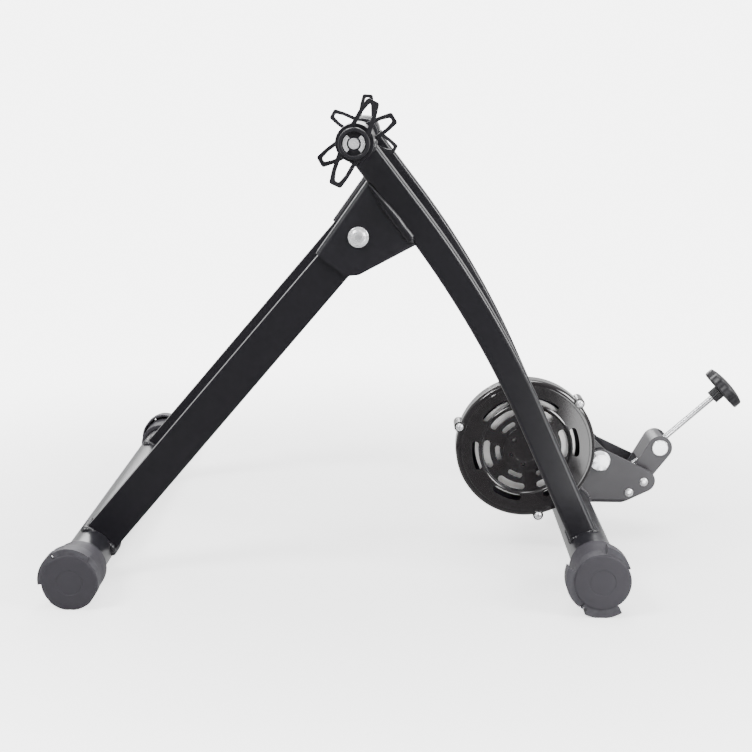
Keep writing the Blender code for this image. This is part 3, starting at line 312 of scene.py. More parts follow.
def bake(obj: Shape) -> Shape:
    """Makes an object's modifiers part of its mesh.

    Args:
        obj: The object.

    Returns:
        The same object.
    """
    graph = bpy.context.evaluated_depsgraph_get()
    mesh = bpy.data.meshes.new_from_object(obj.evaluated_get(graph))
    obj.modifiers.clear()
    old, obj.data = obj.data, mesh
    bpy.data.meshes.remove(old)
    return obj


def lathe(
    profile: Profile,
    place: Matrix,
    steps: int = 64,
    ring: bool = False,
    wave: Callable[[float, float, float], float] | None = None,
) -> Shape:
    """Turns a profile about the Z axis of a place.

    Args:
        profile: Pairs of radius and height.
        place: Where the axis is.
        steps: Faces round the axis.
        ring: Whether the profile closes on itself.
        wave: Gives the radius at an angle, from the angle, the radius and the height.

    Returns:
        The turned object.
    """
    work = bmesh.new()
    rings = []
    for radius, height in profile:
        if radius < TINY:
            rings.append([work.verts.new((0, 0, height))])
            continue
        rings.append([])
        for turn in (math.tau * k / steps for k in range(steps)):
            reach = wave(turn, radius, height) if wave else radius
            spot = (reach * math.cos(turn), reach * math.sin(turn), height)
            rings[-1].append(work.verts.new(spot))
    pairs = list(zip(rings, rings[1:])) + ([(rings[-1], rings[0])] if ring else [])
    for a, b in pairs:
        for k in range(steps):
            j = (k + 1) % steps
            corners = (a[k % len(a)], a[j % len(a)], b[j % len(b)], b[k % len(b)])
            corners = list(dict.fromkeys(corners))
            if len(corners) > 2:
                work.faces.new(corners)
    work.transform(place)
    return as_object(work)


def plate(outlines: Sequence[Outline], y_from: float, y_to: float) -> Shape:
    """A flat plate of the side view between two distances across.

    Args:
        outlines: The edge, then the holes.
        y_from: Where it starts.
        y_to: Where it ends.

    Returns:
        The plate.
    """
    curve = bpy.data.curves.new("outline", "CURVE")
    curve.dimensions = "2D"
    curve.fill_mode = "BOTH"
    curve.extrude = abs(y_to - y_from) / 2
    for outline in outlines:
        spline = curve.splines.new("POLY")
        spline.points.add(len(outline) - 1)
        for point, place in zip(spline.points, outline):
            point.co = (place[0], place[1], 0, 1)
        spline.use_cyclic_u = True
    guide = bpy.data.objects.new("guide", curve)
    bpy.context.scene.collection.objects.link(guide)
    graph = bpy.context.evaluated_depsgraph_get()
    mesh = bpy.data.meshes.new_from_object(guide.evaluated_get(graph))
    bpy.data.objects.remove(guide)
    work = bmesh.new()
    work.from_mesh(mesh)
    bpy.data.meshes.remove(mesh)
    bmesh.ops.remove_doubles(work, verts=work.verts, dist=1e-6)
    bmesh.ops.dissolve_limit(work, angle_limit=1e-4, verts=work.verts, edges=work.edges)
    middle = Matrix.Translation((0, (y_from + y_to) / 2, 0))
    work.transform(middle @ Matrix.Rotation(math.pi / 2, 4, "X"))
    return as_object(work)


def prism(sides: int, radius: float, depth: float, place: Matrix, turn: float = 0) -> Shape:
    """A regular prism that starts at a place and runs along its Z.

    Args:
        sides: How many sides.
        radius: Its corners' distance from the axis.
        depth: Its length.
        place: Where it starts.
        turn: The first corner's angle.

    Returns:
        The prism.
    """
    work = bmesh.new()
    bmesh.ops.create_cone(
        work, cap_ends=True, segments=sides, radius1=radius, radius2=radius, depth=depth
    )
    shift = Matrix.Translation((0, 0, depth / 2)) @ Matrix.Rotation(turn, 4, "Z")
    work.transform(place @ shift)
    return as_object(work)


def combine(obj: Shape, others: Sequence[Shape], way: str) -> Shape:
    """Joins, cuts or trims a shape with others and removes them.

    Args:
        obj: The shape that stays.
        others: The shapes that are used up.
        way: UNION, DIFFERENCE or INTERSECT.

    Returns:
        The changed shape.
    """
    for other in others:
        modifier = obj.modifiers.new("combine", "BOOLEAN")
        modifier.operation = way
        modifier.solver = "EXACT"
        modifier.object = other
    bake(obj)
    for other in others:
        bpy.data.objects.remove(other, do_unlink=True)
    return obj


def cut(obj: Shape, *others: Shape) -> Shape:
    """Takes other shapes out of a shape."""
    return combine(obj, others, "DIFFERENCE")


def fuse(obj: Shape, *others: Shape) -> Shape:
    """Makes other shapes part of a shape, with their edges trimmed."""
    return combine(obj, others, "UNION")


def trim(obj: Shape, *others: Shape) -> Shape:
    """Keeps only what a shape shares with others."""
    return combine(obj, others, "INTERSECT")


def group(first: Shape, *others: Shape) -> Shape:
    """Puts several shapes into one object as they are.

    Args:
        first: The shape that stays.
        *others: The shapes that go into it.

    Returns:
        The first shape, with all of them.
    """
    work = bmesh.new()
    for obj in (first, *others):
        work.from_mesh(obj.data)
    work.to_mesh(first.data)
    work.free()
    for obj in others:
        bpy.data.objects.remove(obj, do_unlink=True)
    return first


def round_edges(obj: Shape, width: float, segments: int = 3) -> Shape:
    """Rounds a shape's sharp edges.

    Args:
        obj: The shape.
        width: How far the rounding reaches.
        segments: How many faces it has.

    Returns:
        The same shape.
    """
    bevel = obj.modifiers.new("round_edges", "BEVEL")
    bevel.width = width
    bevel.segments = segments
    bevel.limit_method = "ANGLE"
    bevel.angle_limit = SHARP
    bevel.harden_normals = False
    return bake(obj)


def drill(obj: Shape, point: Sequence[float], radius: float) -> Shape:
    """A round hole right across a shape."""
    return cut(obj, prism(48, radius, 1.0, across(point, -0.5)))


def sweep(
    line: Sequence[tuple[Vector, Vector, Vector]], section: Sequence[Outline], closed: bool = False
) -> Shape:
    """Carries a section along a line.

    Args:
        line: Points, each with the two directions that its section is drawn in.
        section: One outline for each point.
        closed: Whether the line ends where it starts.

    Returns:
        The swept object, with closed ends if the line is open.
    """
    work = bmesh.new()
    rings = [
        [work.verts.new(point + u * p[0] + v * p[1]) for p in outline]
        for (point, u, v), outline in zip(line, section)
    ]
    pairs = list(zip(rings, rings[1:])) + ([(rings[-1], rings[0])] if closed else [])
    for a, b in pairs:
        for k in range(len(a)):
            work.faces.new((a[k - 1], a[k], b[k], b[k - 1]))
    if not closed:
        work.faces.new(rings[0])
        work.faces.new(rings[-1])
    return as_object(work)


def bead(points: Sequence[Vector], radius: float, closed: bool, seed: int) -> Shape:
    """A weld bead, rippled and a little uneven.

    Args:
        points: The line that it follows.
        radius: Its size.
        closed: Whether the line ends where it starts.
        seed: What its unevenness is drawn from.

    Returns:
        The bead.
    """
    draw = random.Random(seed)
    step, ripple = 0.0006, 0.0026
    corners = [*points, points[0]] if closed else list(points)
    even: list[Vector] = [corners[0]]
    for a, b in zip(corners, corners[1:]):
        count = max(1, round((b - a).length / step))
        even += [a.lerp(b, k / count) for k in range(1, count + 1)]
    if closed:
        even.pop()
    line, section, swell, run = [], [], 1.0, 0.0
    up = Vector((0.31, 0.17, 0.93))
    for k, point in enumerate(even):
        after = even[(k + 1) % len(even)] if closed or k + 1 < len(even) else point
        before = even[k - 1] if closed or k else point
        way = (after - before).normalized()
        up = (up - way * up.dot(way)).normalized()
        line.append((point, up, way.cross(up)))
        run += (after - point).length
        swell += (1 + draw.uniform(-0.14, 0.14) - swell) * 0.12
        wave = 0.5 + 0.5 * math.cos(math.tau * run / ripple)
        end = 1.0 if closed else min(1.0, (0.25 + 0.2 * k), 0.25 + 0.2 * (len(even) - 1 - k))
        size = radius * swell * (0.84 + 0.16 * math.sqrt(wave)) * end
        section.append(arc((0, 0), size, 0, math.tau, 12)[:-1])
    return sweep(line, section, closed)


def box_section(width: float, depth: float, corner: float) -> Outline:
    """A rounded rectangle about its middle.

    Args:
        width: Its size along X.
        depth: Its size along Y.
        corner: The radius of its corners.

    Returns:
        The outline.
    """
    a, b, quarter = width / 2 - corner, depth / 2 - corner, math.pi / 2
    out: Outline = []
    for k, middle in enumerate(((a, b), (-a, b), (-a, -b), (a, -b))):
        out += arc(middle, corner, k * quarter, (k + 1) * quarter, 6)
    return out


def ring_bead(
    centre: Sequence[float], radius: float, way: Vector, section: Outline, y: float, seed: int,
    size: float = 0.0023,
) -> Shape:
    """The weld bead where a rectangular tube meets a round one that runs across.

    Args:
        centre: The round tube's axis in the side view.
        radius: The round tube's radius.
        way: The direction of the rectangular tube, away from the round one.
        section: The rectangular tube's outline, as distances along and across.
        y: Where its middle is.
        seed: What the bead's unevenness is drawn from.
        size: The bead's size.

    Returns:
        The bead.
    """
    side = Vector((-way.y, way.x))
    points = []
    for u, v in section:
        rise = math.sqrt(max(radius**2 - u**2, 0))
        spot = Vector(centre) + way * rise + side * u
        points.append(Vector((spot.x, y + v, spot.y)))
    return bead(points, size, True, seed)


def threaded(
    place: Matrix, radius: float, length: float, pitch: float, steps: int = 32,
    cut_share: float = 0.55,
) -> Shape:
    """A threaded rod with chamfered ends.

    Args:
        place: Where it starts, with Z along it.
        radius: The thread's outer radius.
        length: Its length.
        pitch: Distance between turns.
        steps: Faces round it.
        cut_share: The thread's depth as a share of its pitch.

    Returns:
        The rod.
    """
    depth = pitch * cut_share
    form = ((0.0, 0.0), (0.12, 0.0), (0.5, depth), (0.62, depth))
    turns = math.ceil(length / pitch) + 1
    work = bmesh.new()
    grid = []
    for row in range(4 * turns):
        share, inset = form[row % 4]
        ring = []
        for k in range(steps):
            height = (row // 4 + share + k / steps - 1) * pitch
            end = min(height, length - height)
            reach = radius - max(inset, depth if end < depth * 0.4 else 0, 0)
            height = min(max(height, 0), length)
            ring.append(work.verts.new((*ray(math.tau * k / steps, reach), height)))
        grid.append(ring)
    for row in range(len(grid) - 1):
        a, b = grid[row], grid[row + 1]
        for k in range(steps - 1):
            work.faces.new((a[k], a[k + 1], b[k + 1], b[k]))
        if row + 5 < len(grid):
            c, d = grid[row + 4], grid[row + 5]
            work.faces.new((a[-1], c[0], d[0], b[-1]))
    core = radius - depth * 0.96
    work.transform(place)
    skin = as_object(work)
    nose = [(0, 0), (core - depth * 0.4, 0), (core, depth * 0.4)]
    nose += [(r, length - h) for r, h in nose[::-1]]
    return group(skin, lathe(nose, place, steps))


def trough(
    start: Vector, way: Vector, inward: Vector, half: float, bend: float, length: float
) -> Shape:
    """A long block with two rounded edges, for a folded channel.

    Args:
        start: The middle of its rounded side's first end, in the side view.
        way: The direction that it runs in.
        inward: The direction from its rounded side into the block.
        half: Half its width across.
        bend: The radius of its two edges.
        length: Its length.

    Returns:
        The block.
    """
    far = 0.12
    section = [Vector((far, -half)), Vector((far, half))]
    section += arc((bend, half - bend), bend, math.pi / 2, math.pi, 6)
    section += arc((bend, bend - half), bend, math.pi, math.pi * 1.5, 6)
    ways = Vector((inward.x, 0, inward.y)), Vector((0, 1, 0))
    spots = [(Vector((p.x, 0, p.y)), *ways) for p in (start, start + way * length)]
    return sweep(spots, [section, section])


def hexagon(width: float, height: float, place: Matrix, both: bool, turn: float) -> Shape:
    """A hexagon head or nut with chamfered corners.

    Args:
        width: Across its flats.
        height: Its height.
        place: Where it starts, with Z along it.
        both: Whether both ends are chamfered, and not just the far one.
        turn: The first corner's angle.

    Returns:
        The head.
    """
    corner = width / math.sqrt(3)
    drop = (corner - width / 2 * 0.97) * math.tan(math.radians(30))
    face = width / 2 * 0.97
    low = [(0, 0), (face, 0), (corner * 1.01, drop)] if both else [(0, 0), (corner * 1.01, 0)]
    cone = [*low, (corner * 1.01, height - drop), (face, height), (0, height)]
    return trim(prism(6, corner, height, place, turn), lathe(cone, place, 72))


# Finishes


class Nodes:
    """Adds shader nodes to a material or a world."""

    def __init__(self, owner: bpy.types.ID, shader: str, space: str) -> None:
        """Starts on the nodes that every material or world has.

        Args:
            owner: The material or world.
            shader: The name of its shader node.
            space: The texture coordinates that patterns use.
        """
        owner.use_nodes = True
        self.tree = owner.node_tree
        self.shader = self.tree.nodes[shader]
        self.place = self.tree.nodes.new("ShaderNodeTexCoord").outputs[space]

    def add(self, kind: str, *feeds: Socket, **values: float | str) -> bpy.types.Node:
        """A new node with some of its inputs or settings filled in.

        Args:
            kind: The node's type without its prefix.
            *feeds: The sockets that feed its first inputs.
            **values: Setting names, or input names with spaces as underscores.

        Returns:
            The node.
        """
        node = self.tree.nodes.new(f"ShaderNode{kind}")
        for key, value in values.items():
            if hasattr(node, key):
                setattr(node, key, value)
            else:
                node.inputs[key.replace("_", " ")].default_value = value
        for feed, end in zip(feeds, node.inputs):
            self.link(feed, end)
        return node

    def link(self, start: Socket, end: Socket) -> None:
        """Joins two sockets."""
        self.tree.links.new(start, end)

    def spread(self, scale: float, low: float, high: float) -> Socket:
        """Noise in the object's own space, spread between two numbers.

        Args:
            scale: How fine it is.
            low: The lowest value.
            high: The highest value.

        Returns:
            The noise.
        """
        noise = self.add("TexNoise", self.place, Scale=scale, Detail=3.0).outputs["Fac"]
        span = {"From_Min": 0.3, "From_Max": 0.7, "To_Min": low, "To_Max": high}
        return self.add("MapRange", noise, **span).outputs["Result"]

    def bump(self, height: Socket, distance: float, strength: float) -> Socket:
        """A normal changed by a pattern of heights.

        Args:
            height: The pattern.
            distance: How high it is.
            strength: How much of it shows.

        Returns:
            The normal.
        """
        node = self.add("Bump", Distance=distance, Strength=strength)
        self.link(height, node.inputs["Height"])
        return node.outputs["Normal"]


@dataclass(frozen=True)
class Finish:
    """A surface finish: a colour with uneven gloss, fine grain and paler edges, part wear and part
    painted highlight.
    """

    slot: str
    colour: Triple
    metallic: float
    gloss: Spot
    patch: float
    grain: float
    grain_depth: float
    # The paler edge colour and how much of it shows: part wear, part painted highlight.
    edge_rub_and_highlight: Triple
    edge_rub_and_highlight_share: float
    sheen: float = 0.5
    shade: str = ""

    def material(self) -> bpy.types.Material:
        """Makes the finish's material the first time that it is asked for.

        Returns:
            The material.
        """
        name = f"{self.slot}{self.shade}_finish"
        if found := bpy.data.materials.get(name):
            return found
        material = bpy.data.materials.new(name)
        nodes = Nodes(material, "Principled BSDF", "Object")
        shader = nodes.shader.inputs
        shader["Metallic"].default_value = self.metallic
        shader["Specular IOR Level"].default_value = self.sheen
        nodes.link(nodes.spread(self.patch, *self.gloss), shader["Roughness"])
        nodes.link(self.tint(nodes), shader["Base Color"])
        nodes.link(self.relief(nodes), shader["Normal"])
        return material

    def tint(self, nodes: Nodes) -> Socket:
        """Makes the colour, paler on sharp edges as wear and as a painted highlight.

        Args:
            nodes: The material's nodes.

        Returns:
            The colour.
        """
        # Pointiness finds sharp edges; the paler colour there is part edge wear and part painted
        # highlight standing in for bright edge lines.
        edge = nodes.add("NewGeometry").outputs["Pointiness"]
        ramp = nodes.add("MapRange", edge, From_Min=0.53, From_Max=0.66, To_Max=self.edge_rub_and_highlight_share)
        feeds = ramp.outputs["Result"], nodes.spread(160, 0.3, 1.0)
        speckle = nodes.add("Math", *feeds, operation="MULTIPLY")
        mix = nodes.add("Mix", speckle.outputs["Value"], data_type="RGBA")
        mix.inputs[6].default_value = (*self.colour, 1)
        mix.inputs[7].default_value = (*self.edge_rub_and_highlight, 1)
        return mix.outputs[2]

    def relief(self, nodes: Nodes) -> Socket:
        """The fine grain of the surface, as a changed normal."""
        grain = nodes.add("TexNoise", nodes.place, Scale=self.grain, Detail=2.0)
        return nodes.bump(grain.outputs["Fac"], self.grain_depth, 0.6)


@dataclass(frozen=True)
class TurnedFinish(Finish):
    """A finish with fine rings about an axis that runs across the stand."""

    axis: Spot = (0.0, 0.0)
    pitch: float = 0.0006

    def relief(self, nodes: Nodes) -> Socket:
        """Makes fine tool rings.

        Args:
            nodes: The material's nodes.

        Returns:
            The changed normal.
        """
        shift = nodes.add("VectorMath", nodes.place, operation="SUBTRACT")
        shift.inputs[1].default_value = (self.axis[0], 0, self.axis[1])
        look = {"wave_type": "RINGS", "rings_direction": "Y", "Distortion": 0.6}
        rings = nodes.add("TexWave", shift.outputs["Vector"], Scale=1 / self.pitch / 3.2, **look)
        return nodes.bump(rings.outputs["Fac"], self.grain_depth, 0.7)


# Each finish's second colour paints its sharp edges paler: part wear, part painted highlight.
SATIN_PAINT = Finish(
    "black_paint", (0.0085, 0.0080, 0.0105), 0.0, (0.285, 0.32), 14, 520, 0.00003,
    (0.045, 0.045, 0.050), 0.6, 0.45,
)
# Painted light: a lighter copy of the satin black paint for the unit bracket and the ear, standing
# in for how brightly they are lit, not a paint of their own.
PAINTED_LIGHT_PAINT = Finish(
    "black_paint", (0.036, 0.034, 0.039), 0.0, (0.34, 0.42), 22, 520, 0.00004,
    (0.070, 0.070, 0.075), 0.6, 0.4, "_painted_light",
)
GLOSS_PAINT = Finish(
    "black_gloss", (0.010, 0.0085, 0.0095), 0.0, (0.11, 0.13), 14, 240, 0.000004,
    (0.02, 0.02, 0.021), 0.3, 0.8,
)
MOULDED_PLASTIC = Finish(
    "grey_plastic", (0.033, 0.031, 0.037), 0.0, (0.52, 0.66), 60, 1500, 0.00008,
    (0.075, 0.074, 0.082), 0.5, 0.2,
)
BLACK_PLASTIC = Finish(
    "grey_plastic", (0.012, 0.0115, 0.014), 0.0, (0.38, 0.46), 60, 1500, 0.00002,
    (0.030, 0.030, 0.034), 0.5, 0.3, "_dark",
)
ZINC_PLATE = Finish(
    "zinc", (0.90, 0.90, 0.92), 0.62, (0.22, 0.34), 120, 900, 0.00002,
    (0.95, 0.95, 0.96), 0.5,
)
BRIGHT_ZINC = Finish(
    "zinc", (0.80, 0.80, 0.82), 1.0, (0.18, 0.26), 120, 900, 0.00001,
    (0.90, 0.90, 0.91), 0.5, 0.5, "_bright",
)
BARE_STEEL = TurnedFinish(
    "bare_steel", (0.48, 0.48, 0.49), 1.0, (0.24, 0.38), 90, 900, 0.00004,
    (0.70, 0.70, 0.71), 0.5, axis=PLAN.roller, pitch=0.0008,
)
MACHINED_ALUMINIUM = TurnedFinish(
    "aluminium", (0.90, 0.89, 0.88), 0.35, (0.26, 0.40), 40, 900, 0.00004,
    (0.95, 0.95, 0.95), 0.4, axis=PLAN.roller, pitch=0.0009,
)
CAST_IRON = Finish(
    "iron", (0.10, 0.10, 0.11), 1.0, (0.42, 0.62), 70, 700, 0.00020,
    (0.22, 0.22, 0.23), 0.6,
)
SINTERED_FERRITE = Finish(
    "ferrite", (0.030, 0.030, 0.032), 0.0, (0.55, 0.72), 90, 1200, 0.00012,
    (0.07, 0.07, 0.075), 0.5,
)


def dress(obj: Shape, node: str, form: str, finish: Finish, body: str = "frame") -> None:
    """Finishes a piece and puts it in place of its CAD node.

    Args:
        obj: The shape.
        node: The CAD node that it stands for.
        form: A word for its shape, which ends its name.
        finish: Its surface.
        body: The body that it moves with.
    """
    name = f"{node}_{form}"
    obj.name = obj.data.name = name
    obj.data.materials.clear()
    obj.data.materials.append(finish.material())
    obj.data.shade_smooth()
    obj.data.set_sharp_from_angle(angle=SHARP)
    weighted = obj.modifiers.new("even_shading", "WEIGHTED_NORMAL")
    weighted.keep_sharp = True
    bake(obj)
    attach(obj, body)
    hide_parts(node)
    LOG.info("built %s with %d faces", name, len(obj.data.polygons))


@dataclass(frozen=True)
class BoxTube:
    """A rectangular steel tube, by its width in the side view and its depth across."""

    width: float
    depth: float
    corner: float = 0.0035

    def section(self) -> Outline:
        """The tube's outline about its middle."""
        return box_section(self.width, self.depth, self.corner)

    def along(self, line: list, y: float) -> Shape:
        """The tube along a line of points and directions.

        Args:
            line: Where its middle runs in the side view.
            y: Where its middle is across the stand.

        Returns:
            The tube.
        """
        spots = []
        for point, way in line:
            middle = Vector((point.x, y, point.y))
            spots.append((middle, Vector((-way.y, 0, way.x)), Vector((0, 1, 0))))
        return sweep(spots, [self.section()] * len(spots))


def crossbar(name: str, point: Spot, body: str) -> None:
    """A round tube across the stand, open at its ends inside the foot caps.

    Args:
        name: Its name.
        point: Where its axis is.
        body: The body that it moves with.
    """
    radius, wall, edge, length = PLAN.bar_radius, 0.0015, 0.0004, 2 * (PLAN.half_width - 0.0034)
    profile = bevelled(
        (radius, 0, edge), (radius, length, edge), (radius - wall, length), (radius - wall, 0)
    )
    tube = lathe(profile, across(point, -length / 2), 96, ring=True)
    dress(tube, name, "tube", SATIN_PAINT, body)


class RearFrame:
    """The rear crossbar with the two curved legs welded to it and to the axle bosses."""

    def __init__(self) -> None:
        """Works out the line that the legs follow."""
        self.tube = BoxTube(0.025, 0.036)
        ends = Vector(PLAN.axle), Vector(PLAN.bend), Vector(PLAN.rear_bar)
        self.line = bend_line(*ends, 0.900, 28)

    def build(self) -> None:
        """Builds the crossbar and both legs with their welds."""
        crossbar("rear_crossbar", PLAN.rear_bar, "frame")
        section = self.tube.section()
        down, up = self.line[0][1], -self.line[-1][1]
        for side in Side:
            y = side.value * PLAN.leg_y
            leg = self.tube.along(self.line, y)
            top = ring_bead(PLAN.axle, PLAN.boss_radius, down, section, y, 11 + side.value)
            foot = ring_bead(PLAN.rear_bar, PLAN.bar_radius, up, section, y, 21 + side.value)
            dress(group(leg, top, foot), f"rear_leg_{side.word}", "tube", SATIN_PAINT)


class FrontFrame:
    """The front crossbar with the two straight legs, round where the fold bolts go through."""

    def build(self) -> None:
        """Builds the crossbar and both legs with their welds."""
        crossbar("front_crossbar", PLAN.front_bar, "front_frame")
        tube, up = BoxTube(0.032, 0.028), PLAN.up_front_leg
        out, half = Vector((-up.y, up.x)), tube.width / 2
        foot, start = Vector(PLAN.front_bar) + up * 0.006, math.atan2(up.y, up.x)
        outline = [foot + out * half, foot - out * half]
        outline += arc(PLAN.pivot, half, start - math.pi / 2, start + math.pi / 2, 32)
        for side in Side:
            y = side.value * PLAN.leg_y
            leg = plate([outline], y - tube.depth / 2, y + tube.depth / 2)
            round_edges(leg, tube.corner, 4)
            joint = PLAN.front_bar, PLAN.bar_radius, up, tube.section()
            weld = ring_bead(*joint, y, 31 + side.value, 0.0038)
            node = f"front_leg_{side.word}"
            dress(group(leg, weld), node, "tube", SATIN_PAINT, "front_frame")


@dataclass(frozen=True)
class FoldJoint:
    """A fold bracket with its bolt, nut and washers."""

    side: Side
    plate: float = 0.0025
    web_lean: float = math.radians(5.14)
    web_low: float = 0.0349
    web_length: float = 0.0760
    toe: Spot = (-0.009, -0.0265)
    sole: Spot = (-0.0015, -0.0257)
    toe_radius: float = 0.0075
    heel: Spot = (0.0499, -0.0062)
    half_depth: float = 0.018
    bolt_radius: float = 0.005
    head_radius: float = 0.0090
    head_height: float = 0.005
    nut_width: float = 0.017
    nut_height: float = 0.008

    def place(self, distance: float) -> Matrix:
        """A place on the bolt's line, with Z outwards."""
        return across(PLAN.pivot, self.side.value * distance, self.side.value)

    def build(self, leg: RearFrame) -> None:
        """Builds the bracket and its fasteners.

        Args:
            leg: The rear frame that the bracket is welded to.
        """
        self.bracket(leg)
        self.bolt()
        self.nut()
        self.washers()

    def bracket(self, leg: RearFrame) -> None:
        """The folded channel that holds the front leg.

        Args:
            leg: The rear frame that it is welded to.
        """
        pivot, up = Vector(PLAN.pivot), PLAN.up_front_leg
        leg_side = 0.016 + GAP + self.plate
        low = pivot - up * self.web_low + Vector((-up.y, up.x)) * leg_side
        way = Matrix.Rotation(self.web_lean, 2) @ up
        inward = Vector((way.y, -way.x))
        top = low + way * self.web_length
        down = leg.line[0][1]
        into = Vector((-down.y, down.x)) * leg.tube.width / 2
        heel = pivot + Vector(self.heel)
        feet = [(pivot + Vector(foot), self.toe_radius) for foot in (self.toe, self.sole)]
        corners = [low, top, heel, heel + into, top + into]
        shape = hull(feet + [(corner, 0) for corner in corners])
        y = self.side.value * PLAN.leg_y
        half, wall = self.half_depth, self.plate
        outer = trough(low - way * 0.05, way, inward, half, 0.0042, 0.20)
        inner = trough(low - way * 0.06 + inward * wall, way, inward, half - wall, 0.0018, 0.22)
        bracket = cut(outer, inner)
        bracket.data.transform(Matrix.Translation((0, y, 0)))
        trim(bracket, plate([shape], y - PAST, y + PAST))
        cut(bracket, plate([band(leg.line, leg.tube.width / 2 - 0.0006)], y - PAST, y + PAST))
        drill(bracket, pivot, self.bolt_radius + GAP)
        round_edges(bracket, SHEET_EDGE, 2)
        seams = [self.seam(leg, shape, y + edge * (half - 0.0008)) for edge in (-1, 1)]
        welds = [self.fillet(points, down) for points in seams]
        dress(group(bracket, *welds), f"fold_bracket_{self.side.word}", "channel", SATIN_PAINT)

    @staticmethod
    def fillet(points: list[Vector], way: Vector) -> Shape:
        """A smooth weld, narrow at its top and wide at its foot.

        Args:
            points: The line that it follows.
            way: The direction of the line in the side view.

        Returns:
            The weld.
        """
        axes = Vector((way.y, 0, -way.x)), Vector((0, 1, 0))
        sections = []
        for k in range(len(points)):
            share = k / (len(points) - 1)
            swell = min(1.0, 0.2 + share * 1.6) * min(1.0, 0.3 + (1 - share) * 9)
            wide = 0.0044 * swell * (1 + 0.03 * math.sin(share * 23))
            high = 0.0034 * min(1.0, 0.3 + swell)
            turns = (ray(math.tau * n / 20) for n in range(20))
            sections.append([Vector((wide * turn.x, high * turn.y)) for turn in turns])
        return sweep([(point, *axes) for point in points], sections)

    @staticmethod
    def seam(leg: RearFrame, shape: Outline, y: float) -> list[Vector]:
        """Where a bracket plate meets the rear leg's edge.

        Args:
            leg: The rear frame.
            shape: The bracket's outline.
            y: Where the plate is.

        Returns:
            The points of the seam.
        """
        half = leg.tube.width / 2
        (start, way), (end, _) = leg.line[0], leg.line[1]
        edge = Vector((-way.y, way.x)) * -half
        length = (end - start).length
        inside = []
        for k in range(241):
            point = start + way * (length * 1.3 * k / 240) + edge
            crossings = 0
            for a, b in zip(shape, shape[1:] + shape[:1]):
                if (a.y > point.y) != (b.y > point.y):
                    at_x = a.x + (point.y - a.y) * (b.x - a.x) / (b.y - a.y)
                    crossings += point.x < at_x
            if crossings % 2:
                inside.append(Vector((point.x, y, point.y)))
        return inside[6:-6]

    def bolt(self) -> None:
        """The button-head bolt with its hexagon socket."""
        radius, height = self.head_radius, self.head_height
        outer = PLAN.leg_y + self.half_depth + GAP
        length = 2 * self.half_depth + self.nut_height + 0.0031
        profile = [
            (0, height), (0.0050, height), (0.0055, height - 0.0003), (0.0058, height - 0.0010),
            (0.0062, 0.0026), (0.0068, 0.0022), (radius - 0.0006, 0.0019),
            (radius - 0.0001, 0.0014), (radius, 0.0008), (radius, 0.0002), (radius - 0.0003, 0),
            (self.bolt_radius, 0), (self.bolt_radius, -0.004), (0, -0.004),
        ]
        bolt = lathe(profile, self.place(outer), 72)
        socket = self.place(outer + height - 0.0028)
        cut(bolt, prism(6, 0.006 / math.sqrt(3), 0.01, socket, 0.3))
        round_edges(bolt, 0.00022, 2)
        shank = self.place(outer - length)
        group(bolt, threaded(shank, self.bolt_radius, length - 0.003, COARSE))
        dress(bolt, f"fold_bolt_{self.side.word}", "button", ZINC_PLATE)

    def nut(self) -> None:
        """The bolt's nut, on the inner side."""
        start = PLAN.leg_y - self.half_depth - GAP - self.nut_height
        nut = hexagon(self.nut_width, self.nut_height, self.place(start), True, 0.2)
        drill(nut, PLAN.pivot, self.bolt_radius + GAP)
        dress(nut, f"fold_nut_{self.side.word}", "hexagon", ZINC_PLATE)

    def washers(self) -> None:
        """The washers on each side of the front leg."""
        reach, thick = 0.01475, 0.0009
        ring = flat_ring(0.0105, self.bolt_radius + GAP, thick)
        for place, way in (("outer", 1), ("inner", -1)):
            start = PLAN.leg_y + way * reach - thick / 2
            washer = lathe(ring, self.place(start), 64, True)
            dress(washer, f"fold_washer_{place}_{self.side.word}", "disc", ZINC_PLATE)


